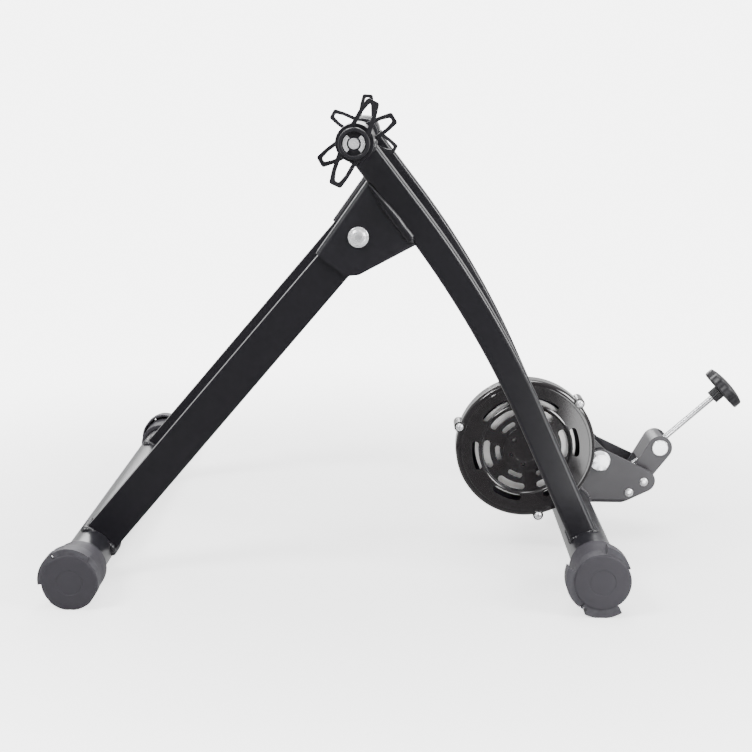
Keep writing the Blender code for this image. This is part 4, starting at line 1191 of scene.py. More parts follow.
@dataclass(frozen=True)
class FootCap:
    """A plastic foot cap: a sleeve, a face and a rim in steps of different height."""

    end: str
    side: Side
    point: Spot
    steps: tuple[tuple[float, float, float, float], ...]
    floor: float
    slits: tuple[float, ...]
    length: float = 0.043
    sleeve: float = 0.0237
    face: float = 0.0242
    rim_depth: float = 0.013
    rim_inset: float = 0.0012
    wall: float = 0.0019

    def build(self) -> None:
        """Builds the cap."""
        sign = self.side.value
        place = across(self.point, sign * (PLAN.half_width - self.length), sign)
        body = lathe(self.profile(), place, 96)
        rim = self.block([self.outline()], self.rim_inset, self.rim_inset + self.rim_depth)
        drill(rim, self.point, self.sleeve - 0.001)
        for step in self.steps:
            if min(step[2:]) > self.sleeve + 0.0034:
                self.hollow(rim, *step)
        for slit in self.slits:
            self.slot(rim, math.radians(slit))
        round_edges(rim, 0.00045, 2)
        word = self.side.word
        dress(group(body, rim), f"{self.end}_foot_cap_{word}", "moulding", MOULDED_PLASTIC,
              f"{self.end}_cap_{word}")

    def block(self, outlines: list[Outline], start: float, end: float) -> Shape:
        """A plate between two depths below the cap's face."""
        ends = (self.side.value * (PLAN.half_width - depth) for depth in (start, end))
        return plate(outlines, *sorted(ends))

    def profile(self) -> Profile:
        """Gives the turned part's profile.

        Returns:
            Points from the middle of its face to the middle of its inside.
        """
        face, length, sleeve, bore = self.face, self.length, self.sleeve, 0.0193
        back = length - 0.003
        return [
            (0, length - 0.0001), (0.0101, length - 0.0001), (0.0105, length - 0.0003),
            (0.0109, length - 0.0003), (0.0113, length), (face - 0.0016, length),
            (face - 0.0007, length - 0.0003), (face - 0.0001, length - 0.0009),
            (face, length - 0.0016), (face, back + 0.0003), (face - 0.0003, back),
            (sleeve + 0.0004, back), (sleeve, back - 0.0004), (sleeve, 0.0006),
            (sleeve - 0.0006, 0), (bore + 0.0005, 0), (bore, 0.0005), (bore, back), (0, back),
        ]

    def outline(self) -> Outline:
        """Gives the rim's edge.

        Returns:
            Its points, never below the floor.
        """
        points: Outline = []
        for first, last, start, end in self.steps:
            count = max(2, round((last - first) / 2.5))
            for k in range(count + 1):
                turn = math.radians(first + (last - first) * k / count)
                spot = Vector(self.point) + ray(turn, start + (end - start) * k / count)
                spot.y = max(spot.y, self.floor)
                points.append(spot)
        return points

    def hollow(self, rim: Shape, first: float, last: float, start: float, end: float) -> None:
        """Takes the inside out of a high step, open at its higher end and its back.

        Args:
            rim: The rim to cut.
            first: The step's first angle in degrees.
            last: Its last angle.
            start: Its radius at the first angle.
            end: Its radius at the last one.
        """
        centre = Vector(self.point)
        low, high = (first - 3, last - 5) if start > end else (first + 5, last + 3)
        outer: Outline = []
        for k in range(17):
            angle = low + (high - low) * k / 16
            share = (angle - first) / (last - first)
            radius = start + (end - start) * share - self.wall
            outer.append(centre + ray(math.radians(angle), radius))
        inner = arc(centre, self.sleeve + 0.0006, math.radians(high), math.radians(low), 16)
        cut(rim, self.block([outer + inner], self.rim_inset + 0.0030, PAST))

    def slot(self, rim: Shape, turn: float) -> None:
        """Cuts a narrow slot into the rim's edge.

        Args:
            rim: The rim to cut.
            turn: The slot's angle.
        """
        side = ray(turn + math.pi / 2, 0.0008)
        start, end = (Vector(self.point) + ray(turn, r) for r in (self.sleeve + 0.0006, 0.040))
        shape = [start - side, end - side, end + side, start + side]
        cut(rim, self.block([shape], -PAST, PAST))


@dataclass(frozen=True)
class AxleClamp:
    """One side's threaded boss, spindle, cup, handle and lock nut."""

    side: Side
    handle_angle: float
    lock_angle: float
    spindle_radius: float = 0.008
    boss_inner: float = 0.133
    boss_outer: float = 0.200
    cup_mouth: float = 0.072
    cup_back: float = 0.096
    handle_inner: float = 0.203
    wing_half_span: float = 0.0388
    wing_bar: float = 0.0036
    wing_depth: float = 0.006

    def build(self) -> None:
        """Builds the five pieces."""
        self.boss()
        self.spindle()
        self.cup()
        self.handle()
        self.lock_nut()

    def place(self, distance: float) -> Matrix:
        """A place on the axle's line, with Z outwards."""
        return across(PLAN.axle, self.side.value * distance, self.side.value)

    def boss(self) -> None:
        """The threaded tube on top of the rear leg."""
        radius, length = PLAN.boss_radius, self.boss_outer - self.boss_inner
        edge, bore = (0.0009, 0.0003), self.spindle_radius + GAP
        profile = bevelled(
            (radius, length, *edge), (radius, 0, *edge), (bore, 0, 0.001), (bore, length, 0.001)
        )
        boss = lathe(profile, self.place(self.boss_inner), 96, ring=True)
        dress(boss, f"axle_boss_{self.side.word}", "tube", SATIN_PAINT)

    def spindle(self) -> None:
        """The threaded spindle with its neck, its riveted end and the collar's two crescents."""
        start, shoulder = self.cup_mouth + 0.012 + GAP, self.cup_back + GAP
        hub = self.handle_inner - GAP
        rod = threaded(self.place(shoulder), self.spindle_radius, hub - shoulder, 0.002, 48)
        top = shoulder - start + 0.001
        neck = [(0, 0), (0.0048, 0), (0.0055, 0.0007), (0.0055, top), (0, top)]
        length = 0.0138
        end = [
            (0, 0), (0.0047, 0), (0.0047, length - 0.0009), (0.0044, length - 0.0003),
            (0.0036, length), (0.0012, length), (0.0008, length - 0.0005), (0, length - 0.0006),
        ]
        parts = [lathe(neck, self.place(start), 48), lathe(end, self.place(hub - 0.0005), 48)]
        floor, half = self.handle_inner + 0.0120, math.radians(50)
        ends = sorted(self.side.value * y for y in (floor - 0.0006, floor + 0.0022))
        for middle in (0, math.pi):
            shape = arc(PLAN.axle, 0.0093, middle - half, middle + half, 16)
            shape += arc(PLAN.axle, 0.0060, middle + half, middle - half, 16)
            parts.append(round_edges(plate([shape], *ends), 0.0012, 3))
        word = self.side.word
        dress(group(rod, *parts), f"axle_spindle_{word}", "thread", ZINC_PLATE, f"spindle_{word}")

    def cup(self) -> None:
        """The cone cup that takes the end of the wheel's axle."""
        length = self.cup_back - self.cup_mouth
        profile = [
            (0.0060, length), (0.0113, length), (0.0120, length - 0.0007), (0.0153, 0.0088),
            (0.0155, 0.0080), (0.0155, 0.0007), (0.0148, 0), (0.0131, 0), (0.0125, 0.0006),
            (0.0087, 0.0115), (0.0082, 0.0120), (0.0058, 0.0120),
        ]
        cup = lathe(profile, self.place(self.cup_mouth), 72, ring=True)
        word = self.side.word
        dress(cup, f"axle_cup_{word}", "cone", SATIN_PAINT, f"cup_{word}")

    def wings(self, angle: float, y: float, hub: float) -> Shape:
        """A pair of looped wings.

        Args:
            angle: Their slope in degrees, down towards +X.
            y: Where their middle is.
            hub: The hub's radius, which their roots go into.

        Returns:
            The wings.
        """
        turn = Matrix.Rotation(math.radians(angle), 2)
        tip, bar, half = self.wing_half_span, self.wing_bar, self.wing_depth / 2
        root, middle, end = 0.0095, 0.0078, 0.0054
        edge = [(0, root), (0.0111, root), (0.0273, middle), (tip, end)]
        edge = edge + [(x, -z) for x, z in edge[::-1]] + [(-x, -z) for x, z in edge]
        edge += [(-x, z) for x, z in edge[:4][::-1]]
        window = [(0.0080, root - bar), (0.0273, middle - bar), (tip - bar, end - bar)]
        window += [(x, -z) for x, z in window[::-1]]
        outlines = [soften(edge, 0.0022, 6), soften(window, 0.0016)]
        outlines.append(soften([(-x, z) for x, z in window], 0.0016))
        placed = [[Vector(PLAN.axle) + turn @ point for point in out] for out in outlines]
        wings = round_edges(plate(placed, y - half, y + half), 0.0009, 3)
        core = prism(64, hub - 0.0006, 2 * half + 0.0002, across(PLAN.axle, y - half - 0.0001))
        return fuse(wings, core)

    def winged(
        self, profile: Profile, start: float, middle: float, angle: float, node: str, body: str
    ) -> None:
        """A turned hub with two looped wings.

        Args:
            profile: The hub's profile.
            start: Where the hub starts, across the stand.
            middle: The distance from there to the middle of the wings.
            angle: The wings' slope in degrees.
            node: The CAD node.
            body: The body that it moves with.
        """
        radius = max(r for r, _ in profile)
        hub = lathe(profile, self.place(start), 72, ring=True)
        wings = self.wings(angle, self.side.value * (start + middle), radius)
        drill(wings, PLAN.axle, radius - 0.0012)
        dress(group(hub, wings), node, "moulding", BLACK_PLASTIC, body)

    def handle(self) -> None:
        """The outer handle: a hub with a deep face and two looped wings."""
        depth, radius, recess, hole, word = 0.016, 0.0132, 0.0103, 0.0050, self.side.word
        profile = bevelled(
            (recess, depth, 0.0004), (radius, depth, 0.0010, 0.0003), (radius, 0, 0.0006),
            (hole, 0), (hole, depth - 0.004), (recess - 0.0005, depth - 0.004),
            (recess, depth - 0.0034),
        )
        self.winged(profile, self.handle_inner, 0.004, self.handle_angle,
                    f"spindle_handle_{word}", f"spindle_{word}")

    def lock_nut(self) -> None:
        """The winged nut that locks the spindle against the boss."""
        depth, radius, bore = 0.0147, 0.0158, self.spindle_radius + 0.0004
        edge, word = (0.0014, 0.0004), self.side.word
        profile = bevelled(
            (bore, depth, 0.0008), (radius, depth, *edge), (radius, 0, *edge), (bore, 0, 0.0008)
        )
        self.winged(profile, self.boss_inner - GAP - depth, depth / 2, self.lock_angle,
                    f"lock_nut_{word}", f"locknut_{word}")


@dataclass(frozen=True)
class UnitBracket:
    """The channel on the rear crossbar that carries the roller unit, with its pivot bolt."""

    half_width: float = 0.030
    wall: float = 0.003
    end: Spot = (0.2254, 0.0570)
    end_radius: float = 0.0114
    pivot_radius: float = 0.0115
    bottom: float = 0.0335
    bottom_front: float = 0.1675
    bottom_rear: float = 0.2036
    heel: Spot = (0.1585, 0.0460)
    pins: tuple[Spot, ...] = ((0.2254, 0.0560), (0.2112, 0.0449))
    bolt_radius: float = 0.005
    bolt_width: float = 0.016
    bolt_height: float = 0.0065

    def build(self) -> None:
        """Builds the bracket, the pivot bolt with its washer and nut, and the two pins."""
        self.channel()
        self.bolt()
        for name, point in zip(("upper", "lower"), self.pins):
            self.pin(name, point)

    def channel(self) -> None:
        """The folded channel with its weld on the crossbar."""
        corners = (self.bottom_rear, self.bottom), (self.bottom_front, self.bottom), self.heel
        ends = [(PLAN.yoke_pivot, self.pivot_radius), (self.end, self.end_radius)]
        shape = hull(ends + [(corner, 0) for corner in corners])
        half, wall, along, up = self.half_width, self.wall, Vector((1, 0)), Vector((0, 1))
        outer = trough(Vector((0.05, self.bottom)), along, up, half, 0.0045, 0.30)
        inner = trough(Vector((0.03, self.bottom + wall)), along, up, half - wall, 0.0018, 0.34)
        channel = trim(cut(outer, inner), plate([shape], -0.05, 0.05))
        cut(channel, prism(96, PLAN.bar_radius - 0.0004, 0.2, across(PLAN.rear_bar, -0.1)))
        drill(channel, PLAN.yoke_pivot, self.bolt_radius + GAP)
        for pin in self.pins:
            drill(channel, pin, 0.0033)
        round_edges(channel, SHEET_EDGE, 2)
        welds = []
        for k, y in enumerate((-half + 0.0008, half - 0.0008)):
            turns = (math.radians(angle) for angle in range(7, 76, 3))
            line = [Vector(PLAN.rear_bar) + ray(turn, 0.0192) for turn in turns]
            welds.append(bead([Vector((p.x, y, p.y)) for p in line], 0.0022, False, 51 + k))
        # Painted light: the bracket gets a lighter copy of the black paint for how brightly it is
        # lit.
        dress(group(channel, *welds), "unit_bracket", "channel", PAINTED_LIGHT_PAINT)

    def bolt(self) -> None:
        """The bolt on which the yoke swings, head on the left and nut on the right."""
        pivot, bore, outer = PLAN.yoke_pivot, self.bolt_radius + GAP, self.half_width + GAP
        ring, washer = flat_ring(0.010, bore, 0.0016, 0.0003), across(pivot, -outer, -1)
        dress(lathe(ring, washer, 72, True), "yoke_pivot_washer", "disc", ZINC_PLATE)
        seat, size = outer + 0.0016 + GAP, (self.bolt_width, self.bolt_height)
        place = across(pivot, -seat, -1)
        base = lathe([(0, 0.0004), (0.0076, 0.0004), (0.0079, 0), (0, 0)], place, 64)
        start = across(pivot, outer + self.bolt_height + 0.0025, -1)
        length = seat + outer + self.bolt_height + 0.003
        shank = threaded(start, self.bolt_radius, length, COARSE)
        bolt = group(hexagon(*size, place, False, 0.6), base, shank)
        dress(bolt, "yoke_pivot_bolt", "hexagon", ZINC_PLATE)
        nut = hexagon(*size, across(pivot, outer), True, 0.4)
        drill(nut, pivot, bore)
        dress(nut, "yoke_pivot_nut", "hexagon", ZINC_PLATE)

    def pin(self, name: str, point: Spot) -> None:
        """A riveted pin through the bracket and the ear.

        Args:
            name: Which pin.
            point: Where it is.
        """
        outer = self.half_width + GAP
        turns = [math.radians(angle) for angle in range(0, 91, 15)]
        profile = [(0.0042 * math.sin(t), outer + 0.0018 * math.cos(t)) for t in turns]
        profile = mirrored([*profile, (0.0040, outer), (0.003, outer), (0.003, 0)])
        dress(lathe(profile, across(point, 0), 48), f"ear_pin_{name}", "rivet", ZINC_PLATE)


@dataclass(frozen=True)
class Adjuster:
    """The ear, barrel nut, threaded rod, tip and knob that set the roller's pressure."""

    pins: tuple[Spot, ...]
    ear_radius: float = 0.0122
    half_width: float = 0.018
    plate: float = 0.003
    web_end: float = math.radians(78)
    barrel_radius: float = 0.008
    rod_radius: float = 0.003
    tip_distance: float = -0.052
    knob_distance: float = 0.0816
    knob_radius: float = 0.02275
    knob_rim: float = 0.0085
    knob_dome: float = 0.0035
    knob_hub: float = 0.00675
    lobes: int = 8

    def build(self) -> None:
        """Builds the five pieces."""
        self.ear()
        self.barrel()
        self.rod()
        self.tip()
        self.knob()

    def ear(self) -> None:
        """The folded ear between the bracket's cheeks."""
        ear, land, half = Vector(PLAN.ear), 0.0063, self.half_width
        upper, lower = (Vector(pin) for pin in self.pins)
        shape = hull([(ear, self.ear_radius), (lower, land), (upper, land)])
        down = (lower - ear).normalized()
        slant = math.asin((self.ear_radius - land) / (lower - ear).length)
        out = Matrix.Rotation(slant, 2) @ Vector((down.y, -down.x))
        start = math.atan2(out.y, out.x) % math.tau
        top = arc(ear, self.ear_radius - self.plate, start, self.web_end, 18)
        along = Vector((-out.y, out.x))
        web = top[0] + along * 0.021
        past = web + out * (self.plate + 0.01)
        far = Vector((0.08, 0))
        low, high = past + along * 0.04, ear + ray(self.web_end) * 0.04
        inner = [low, past, web, *top, high, high + far, low + far]
        body = plate([shape], -half, half)
        cut(body, plate([inner], -half + self.plate, half - self.plate))
        for point, radius in ((ear, self.barrel_radius + GAP), (upper, 0.0033), (lower, 0.0033)):
            drill(body, point, radius)
        cut(body, prism(48, self.rod_radius + 0.0015, 0.08, on_rod(-0.08)))
        # Painted light: the ear gets a lighter copy of the black paint for how brightly it is lit.
        dress(round_edges(body, SHEET_EDGE, 2), "adjuster_ear", "plate", PAINTED_LIGHT_PAINT)

    def barrel(self) -> None:
        """The round cross nut that the rod threads through."""
        half, radius, edge = self.half_width + 0.0012, self.barrel_radius, 0.0007
        profile = [(0, half), (radius - edge, half), (radius, half - edge), (radius, 0)]
        barrel = lathe(mirrored(profile), across(PLAN.ear, 0), 72)
        cut(barrel, prism(48, self.rod_radius + GAP, 0.05, on_rod(-0.025)))
        dress(barrel, "barrel_nut", "cross", ZINC_PLATE)

    def rod(self) -> None:
        """The threaded rod."""
        start = self.tip_distance + 0.0033
        length = self.knob_distance + 0.0057 - start
        rod = threaded(on_rod(start), self.rod_radius, length, 0.001, 28, 0.3)
        dress(rod, "adjuster_rod", "thread", BRIGHT_ZINC, "adjuster_screw")

    def tip(self) -> None:
        """The swivelling tip that pushes the yoke's tail."""
        profile = [
            (0, 0.003), (0.0033, 0.003), (0.0033, 0.008), (0.0042, 0.008), (0.0045, 0.0077),
            (0.0045, 0.0012), (0.0042, 0.0004), (0.0033, 0), (0, 0),
        ]
        tip = lathe(profile, on_rod(self.tip_distance), 48)
        dress(tip, "rod_tip", "swivel", ZINC_PLATE, "push_tip")

    def knob(self) -> None:
        """The domed knob with finger scallops round its rim and a fluted hub."""
        radius, rim, dome = self.knob_radius, self.knob_rim, self.knob_dome
        hub, length, bore = self.knob_hub, 0.010, self.rod_radius + GAP
        shares = (0.15, 0.3, 0.45, 0.6, 0.72, 0.82, 0.90)
        profile = [
            (0, rim + dome), *((radius * s, rim + dome * (1 - s**2.4)) for s in shares),
            (radius * 0.955, rim + 0.0004), (radius * 0.985, rim - 0.0005),
            (radius, rim - 0.0018), (radius, 0.0016), (radius - 0.0004, 0.0006),
            (radius - 0.0016, 0), (radius - 0.0042, 0), (radius - 0.0048, 0.0008),
            (hub + 0.0030, 0.0012), (hub + 0.0008, 0.0004), (hub, -0.0008),
            (hub, -length + 0.0006), (hub - 0.0006, -length), (bore, -length), (bore, 0.006),
            (0, 0.006),
        ]
        knob = lathe(profile, on_rod(self.knob_distance), 192, wave=self.scallop)
        dress(knob, "adjuster_knob", "moulding", BLACK_PLASTIC, "adjuster_screw")

    def scallop(self, turn: float, reach: float, height: float) -> float:
        """The knob's radius with its finger scallops and the fluting of its hub.

        Args:
            turn: The angle about the knob's axis.
            reach: The radius without them.
            height: The height above the rim's underside.

        Returns:
            The radius.
        """
        flat = self.knob_radius * 0.80
        if reach > flat:
            wave = 0.5 - 0.5 * math.cos(turn * self.lobes)
            return reach - 0.0017 * wave**2 * (reach - flat) / (self.knob_radius - flat)
        if height < 0 and reach > self.knob_hub * 0.9:
            return reach - 0.0006 * (0.5 - 0.5 * math.cos(turn * 18))
        return reach


@dataclass(frozen=True)
class ResistanceUnit:
    """The swinging yoke with the magnet unit on its left arm and the roller between its arms."""

    half_width: float = 0.0265
    arm: float = 0.003
    shaft_radius: float = 0.004
    cover_face: float = 0.091
    cover_depth: float = 0.022
    cover_radius: float = 0.0664
    cover_wall: float = 0.002
    hub_radius: float = 0.0225
    hub_rise: float = 0.0015
    lug_circle: float = 0.0666
    lug_radius: float = 0.005
    lug_angles: tuple[float, ...] = (-78.0, 42.0, 162.0)
    vents: tuple[tuple[float, float, float, float], ...] = (
        (0.0480, 0.0062, 9, 34),
        (0.0372, 0.0062, 9, 42),
        (0.0267, 0.0046, 9, 31),
    )

    def build(self) -> None:
        """Builds the yoke, the roller and the magnet unit."""
        self.yoke()
        self.bearings()
        self.roller()
        self.flywheel()
        self.rotor()
        self.magnets()
        self.back_cover()
        self.front_cover()
        for number, point in enumerate(self.lugs(), 1):
            self.screw(number, point)

    @property
    def bore(self) -> float:
        """The radius of the holes for the shaft."""
        return self.shaft_radius + GAP

    @property
    def rim(self) -> float:
        """Where the front cover's rim is."""
        return self.cover_face - self.cover_depth

    @property
    def rotor_face(self) -> float:
        """Where the rotor's outer face is, behind the cover's."""
        return self.cover_face - 0.009

    def place(self, distance: float, sign: int = -1) -> Matrix:
        """A place on the roller's axis, with Z outwards."""
        return across(PLAN.roller, sign * distance, sign)

    def lugs(self) -> list[Vector]:
        """The places of the cover's three screw lugs."""
        turns = (math.radians(angle) for angle in self.lug_angles)
        return [Vector(PLAN.roller) + ray(turn, self.lug_circle) for turn in turns]

    def yoke(self) -> None:
        """The two arms, the web between them and the tail bar."""
        pivot, roller, width = Vector(PLAN.yoke_pivot), Vector(PLAN.roller), self.half_width
        shoulder = pivot + Vector((-0.0091, 0.0210))
        arm = hull([(roller, 0.017), (shoulder, 0.002), (pivot, 0.011)])
        tail = hull([(pivot, 0.010), (PLAN.tail, 0.006)])
        parts = []
        for sign in (-1, 1):
            y = sorted((sign * width, sign * (width - self.arm)))
            side = plate([arm], *y)
            fuse(side, plate([tail], y[0] + 0.0001, y[1] - 0.0001))
            drill(side, pivot, 0.0053)
            drill(side, roller, 0.0113)
            parts.append(round_edges(side, SHEET_EDGE, 2))
        along = (pivot - roller).normalized()
        middle = roller + (pivot - roller) * 0.47
        a, b = along * 0.002, Vector((-along.y, along.x)) * 0.012
        corners = [middle - a - b, middle + a - b, middle + a + b, middle - a + b]
        parts.append(round_edges(plate([corners], -width + 0.001, width - 0.001), 0.0006, 2))
        parts.append(prism(48, 0.004, 2 * width - 0.004, across(PLAN.tail, -width + 0.002)))
        for k, sign in enumerate((-1, 1)):
            y = sign * (width - self.arm)
            for n, edge in enumerate((a, -a)):
                ends = [middle + edge - b * 0.9, middle + edge + b * 0.9]
                points = [Vector((p.x, y, p.y)) for p in ends]
                parts.append(bead(points, 0.0013, False, 61 + 2 * k + n))
        dress(group(*parts), "unit_yoke", "arms", SATIN_PAINT, "resistance_unit")

    def bearings(self) -> None:
        """A ball bearing in each arm, with its outer race, shield and inner race."""
        start = self.half_width - self.arm - GAP
        inner, outer, width = self.bore, 0.011, 0.007
        profile = []
        for y, way in ((width, 1), (0.0, -1)):
            sunk = y - way * 0.0004
            face = [
                (outer, y - way * 0.0003), (outer - 0.0003, y), (outer - 0.0016, y),
                (outer - 0.0017, sunk), (inner + 0.0017, sunk), (inner + 0.0016, y),
                (inner + 0.0002, y), (inner, y - way * 0.0002),
            ]
            profile += face[::way]
        for side in Side:
            bearing = lathe(profile, self.place(start, side.value), 64, ring=True)
            node = f"shaft_bearing_{side.word}"
            dress(bearing, node, "races", BARE_STEEL, "resistance_unit")

    def roller(self) -> None:
        """The roller, its shaft and the nut on the shaft's end."""
        radius, length, body = 0.015, 0.045, "roller_assembly"
        profile = [
            (self.bore, length), (radius - 0.0012, length), (radius - 0.0003, length - 0.0004),
            (radius, length - 0.0012), (radius, 0.0012), (radius - 0.0003, 0.0004),
            (radius - 0.0012, 0), (self.bore, 0),
        ]
        roller = lathe(profile, self.place(-length / 2), 96, ring=True)
        dress(roller, "roller", "drum", BARE_STEEL, body)
        start, end, edge, shaft = -0.034, self.cover_face - 0.0045, 0.0006, self.shaft_radius
        profile = bevelled((0, end), (shaft, end, edge), (shaft, start, edge), (0, start))
        dress(lathe(profile, self.place(0), 48), "roller_shaft", "bar", BARE_STEEL, body)
        nut = hexagon(0.013, 0.0035, self.place(self.rotor_face + GAP), True, 0.0)
        drill(nut, PLAN.roller, self.bore)
        dress(nut, "shaft_nut", "hexagon", ZINC_PLATE, body)

    def flywheel(self) -> None:
        """The heavy disc inside the back cover."""
        hub, rim, outer, thick, face = 0.012, 0.033, 0.045, 0.017, 0.011
        half = [
            (self.bore, thick), (hub, thick, 0.0005), (hub, face, 0.0015), (rim, face, 0.0015),
            (rim, thick, 0.0006), (outer, thick, 0.0012),
        ]
        other = [(r, thick - h, *broken) for r, h, *broken in half[::-1]]
        wheel = lathe(bevelled(*half, *other), self.place(0.0318), 96, ring=True)
        dress(wheel, "flywheel", "casting", CAST_IRON, "roller_assembly")

    def rotor(self) -> None:
        """The aluminium disc that turns in front of the magnets."""
        start, thick, hub, outer = 0.0491, 0.003, 0.014, 0.048
        depth = self.rotor_face - start
        profile = bevelled(
            (self.bore, depth), (hub - 0.002, depth), (hub - 0.0015, depth - 0.0004),
            (outer - 0.004, depth - 0.0004), (outer - 0.0036, depth), (outer, depth, 0.0004),
            (outer, depth - thick, 0.0004), (hub, depth - thick, 0.001), (hub, 0, 0.0004),
            (self.bore, 0),
        )
        disc = lathe(profile, self.place(start), 96, ring=True)
        dress(disc, "rotor_disc", "turned", MACHINED_ALUMINIUM, "roller_assembly")

    def magnets(self) -> None:
        """The carrier plate and the magnet ring, with its poles marked by shallow joints."""
        profile = flat_ring(self.cover_radius - 0.005, 0.020, 0.0027)
        carrier = lathe(profile, self.place(self.rim), 96, ring=True)
        dress(carrier, "magnet_carrier", "plate", CAST_IRON, "resistance_unit")
        profile = flat_ring(0.044, 0.028, 0.0055, 0.0005)
        ring = lathe(profile, self.place(self.rim + 0.003), 96, True)
        y = -(self.rim + 0.0085)
        slots = []
        for k in range(12):
            turn = k * math.tau / 12
            side = ray(turn + math.pi / 2, 0.0004)
            a, b = (Vector(PLAN.roller) + ray(turn, reach) for reach in (0.026, 0.046))
            slots.append(plate([[a - side, b - side, b + side, a + side]], y - 0.002, y + 0.0009))
        dress(cut(ring, *slots), "magnet_ring", "poles", SINTERED_FERRITE, "resistance_unit")

    def back_cover(self) -> None:
        """The pan that holds the flywheel, with a flange and three lugs."""
        floor = self.half_width + GAP
        depth = self.rim - GAP - floor
        pan, wall, hole, outer = 0.052, 0.0015, 0.0113, self.cover_radius - 0.001
        flange = depth - 0.002
        inner = pan - wall
        profile = [
            (outer - 0.0003, depth), (outer, depth - 0.0004), (outer, flange + 0.0004),
            (outer - 0.0003, flange), (pan + 0.0015, flange), (pan + 0.0004, flange - 0.0004),
            (pan, flange - 0.0015), (pan, 0.0035), (pan - 0.0010, 0.0010), (pan - 0.0035, 0),
            (hole, 0), (hole, wall), (inner - 0.0025, wall), (inner - 0.0007, wall + 0.0007),
            (inner, wall + 0.0025), (inner, depth - 0.0008), (inner + 0.0008, depth),
        ]
        cover = lathe(profile, self.place(floor), 120, ring=True)
        for point in self.lugs():
            spot = across(point, -(floor + flange + 0.0001), -1)
            fuse(cover, prism(40, self.lug_radius, 0.0018, spot))
        for point in self.lugs():
            drill(cover, point, 0.0023)
        dress(cover, "cover_back", "pan", GLOSS_PAINT, "resistance_unit")

    def cover_profile(self, depth: float) -> Profile:
        """The front cover's outside, with its hub, ridge and step, and the inside of its wall.

        Args:
            depth: The height of its face above its rim.

        Returns:
            The profile, from the middle of the face to the middle of the inside.
        """
        edge, radius, hub, rise = 0.005, self.cover_radius, self.hub_radius, self.hub_rise
        low, top, inner = depth - 0.0006, depth + rise, radius - self.cover_wall
        turns = [math.radians(angle) for angle in range(10, 91, 10)]
        corner = radius - edge, low - edge
        return [
            (0, top - 0.0005), (hub - 0.0110, top - 0.0005), (hub - 0.0105, top - 0.0005),
            (hub - 0.0100, top), (hub - 0.0095, top), (hub - rise - 0.0006, top),
            (hub - rise + 0.0002, top - 0.0003), (hub - 0.0004, low),
            (hub + 0.0006, depth - 0.0010), (hub + 0.0012, depth - 0.0010),
            (0.0412, depth - 0.0010), (0.0418, depth - 0.0008), (0.0428, depth + 0.0006),
            (0.0434, depth + 0.0009), (0.0440, depth + 0.0006), (0.0446, depth),
            (0.0450, depth), (0.0600, depth), (0.0604, depth), (0.0608, depth - 0.0004),
            (0.0610, low), (radius - edge + 0.0003, low),
            *((corner[0] + edge * math.sin(t), corner[1] + edge * math.cos(t)) for t in turns),
            (radius, 0.0003), (radius - 0.0003, 0), (inner, 0),
            (inner, depth - self.cover_wall - 0.003), (inner - 0.001, depth - 0.003),
            (inner - 0.003, depth - self.cover_wall), (0, depth - self.cover_wall),
        ]

    def front_cover(self) -> None:
        """The vented cover with a raised hub and three screw lugs."""
        depth, lug = self.cover_depth - self.hub_rise, self.lug_radius
        cover = lathe(self.cover_profile(depth), self.place(self.rim), 144)
        top = depth - 0.0002
        shape = [(0, top), (lug - 0.0008, top), (lug, top - 0.0008), (lug, 0.0002), (0, 0.0002)]
        for point in self.lugs():
            fuse(cover, lathe(shape, across(point, -self.rim, -1), 40))
        floor, inner = depth - self.cover_wall, self.cover_radius - self.cover_wall
        inside = [(0, floor), (inner - 0.003, floor), (inner, floor - 0.003), (inner, -0.01),
                  (0, -0.01)]
        cut(cover, lathe(inside, self.place(self.rim), 144))
        slots = []
        for radius, width, first, span in self.vents:
            for k in range(6):
                outline = self.vent(radius, width, math.radians(first + 60 * k), span)
                slots.append(plate([outline], -self.cover_face - 0.01, -self.rim - depth + 0.008))
        cut(cover, *slots)
        for point in self.lugs():
            drill(cover, point, 0.0023)
        for k in range(6):
            drill(cover, Vector(PLAN.roller) + ray(math.radians(22 + 60 * k), 0.0148), 0.0014)
        round_edges(cover, 0.00035, 2)
        dress(cover, "cover_front", "vented", GLOSS_PAINT, "resistance_unit")

    @staticmethod
    def vent(radius: float, width: float, middle: float, span: float) -> Outline:
        """A curved slot with round ends.

        Args:
            radius: Its middle line's distance from the roller's axis.
            width: Its width.
            middle: The angle of its middle.
            span: Its length as an angle in degrees, ends included.

        Returns:
            The slot's outline.
        """
        half = math.radians(span) / 2 - width / 2 / radius
        start, end, centre = middle - half, middle + half, Vector(PLAN.roller)
        first, last = centre + ray(start, radius), centre + ray(end, radius)
        outline = arc(centre, radius + width / 2, start, end, 10)
        outline += arc(last, width / 2, end, end + math.pi, 8)[1:-1]
        outline += arc(centre, radius - width / 2, end, start, 10)
        return outline + arc(first, width / 2, start + math.pi, start + math.tau, 8)[1:-1]

    def screw(self, number: int, point: Vector) -> None:
        """A cross-recessed screw that holds the cover's halves together.

        Args:
            number: Which screw.
            point: Where it is.
        """
        face = self.cover_face - self.hub_rise + GAP
        profile = [
            (0, 0.0024), (0.0014, 0.0023), (0.0024, 0.0019), (0.0031, 0.0012), (0.0035, 0.0004),
            (0.0035, 0), (0.0018, 0), (0.0018, -0.001), (0, -0.001),
        ]
        head = lathe(profile, across(point, -face, -1), 40)
        bars = []
        for k in range(2):
            turn = 0.4 + number + k * math.pi / 2
            way, side = ray(turn, 0.0018), ray(turn + math.pi / 2, 0.00035)
            shape = [point - way - side, point + way - side, point + way + side, point - way + side]
            bars.append(plate([shape], -face - 0.005, -face - 0.0010))
        cut(head, *bars)
        shank = threaded(across(point, -face + 0.0263, -1), 0.002, 0.0260, 0.0007, 20)
        node = f"cover_screw_{number}"
        dress(group(head, shank), node, "cross", ZINC_PLATE, "resistance_unit")


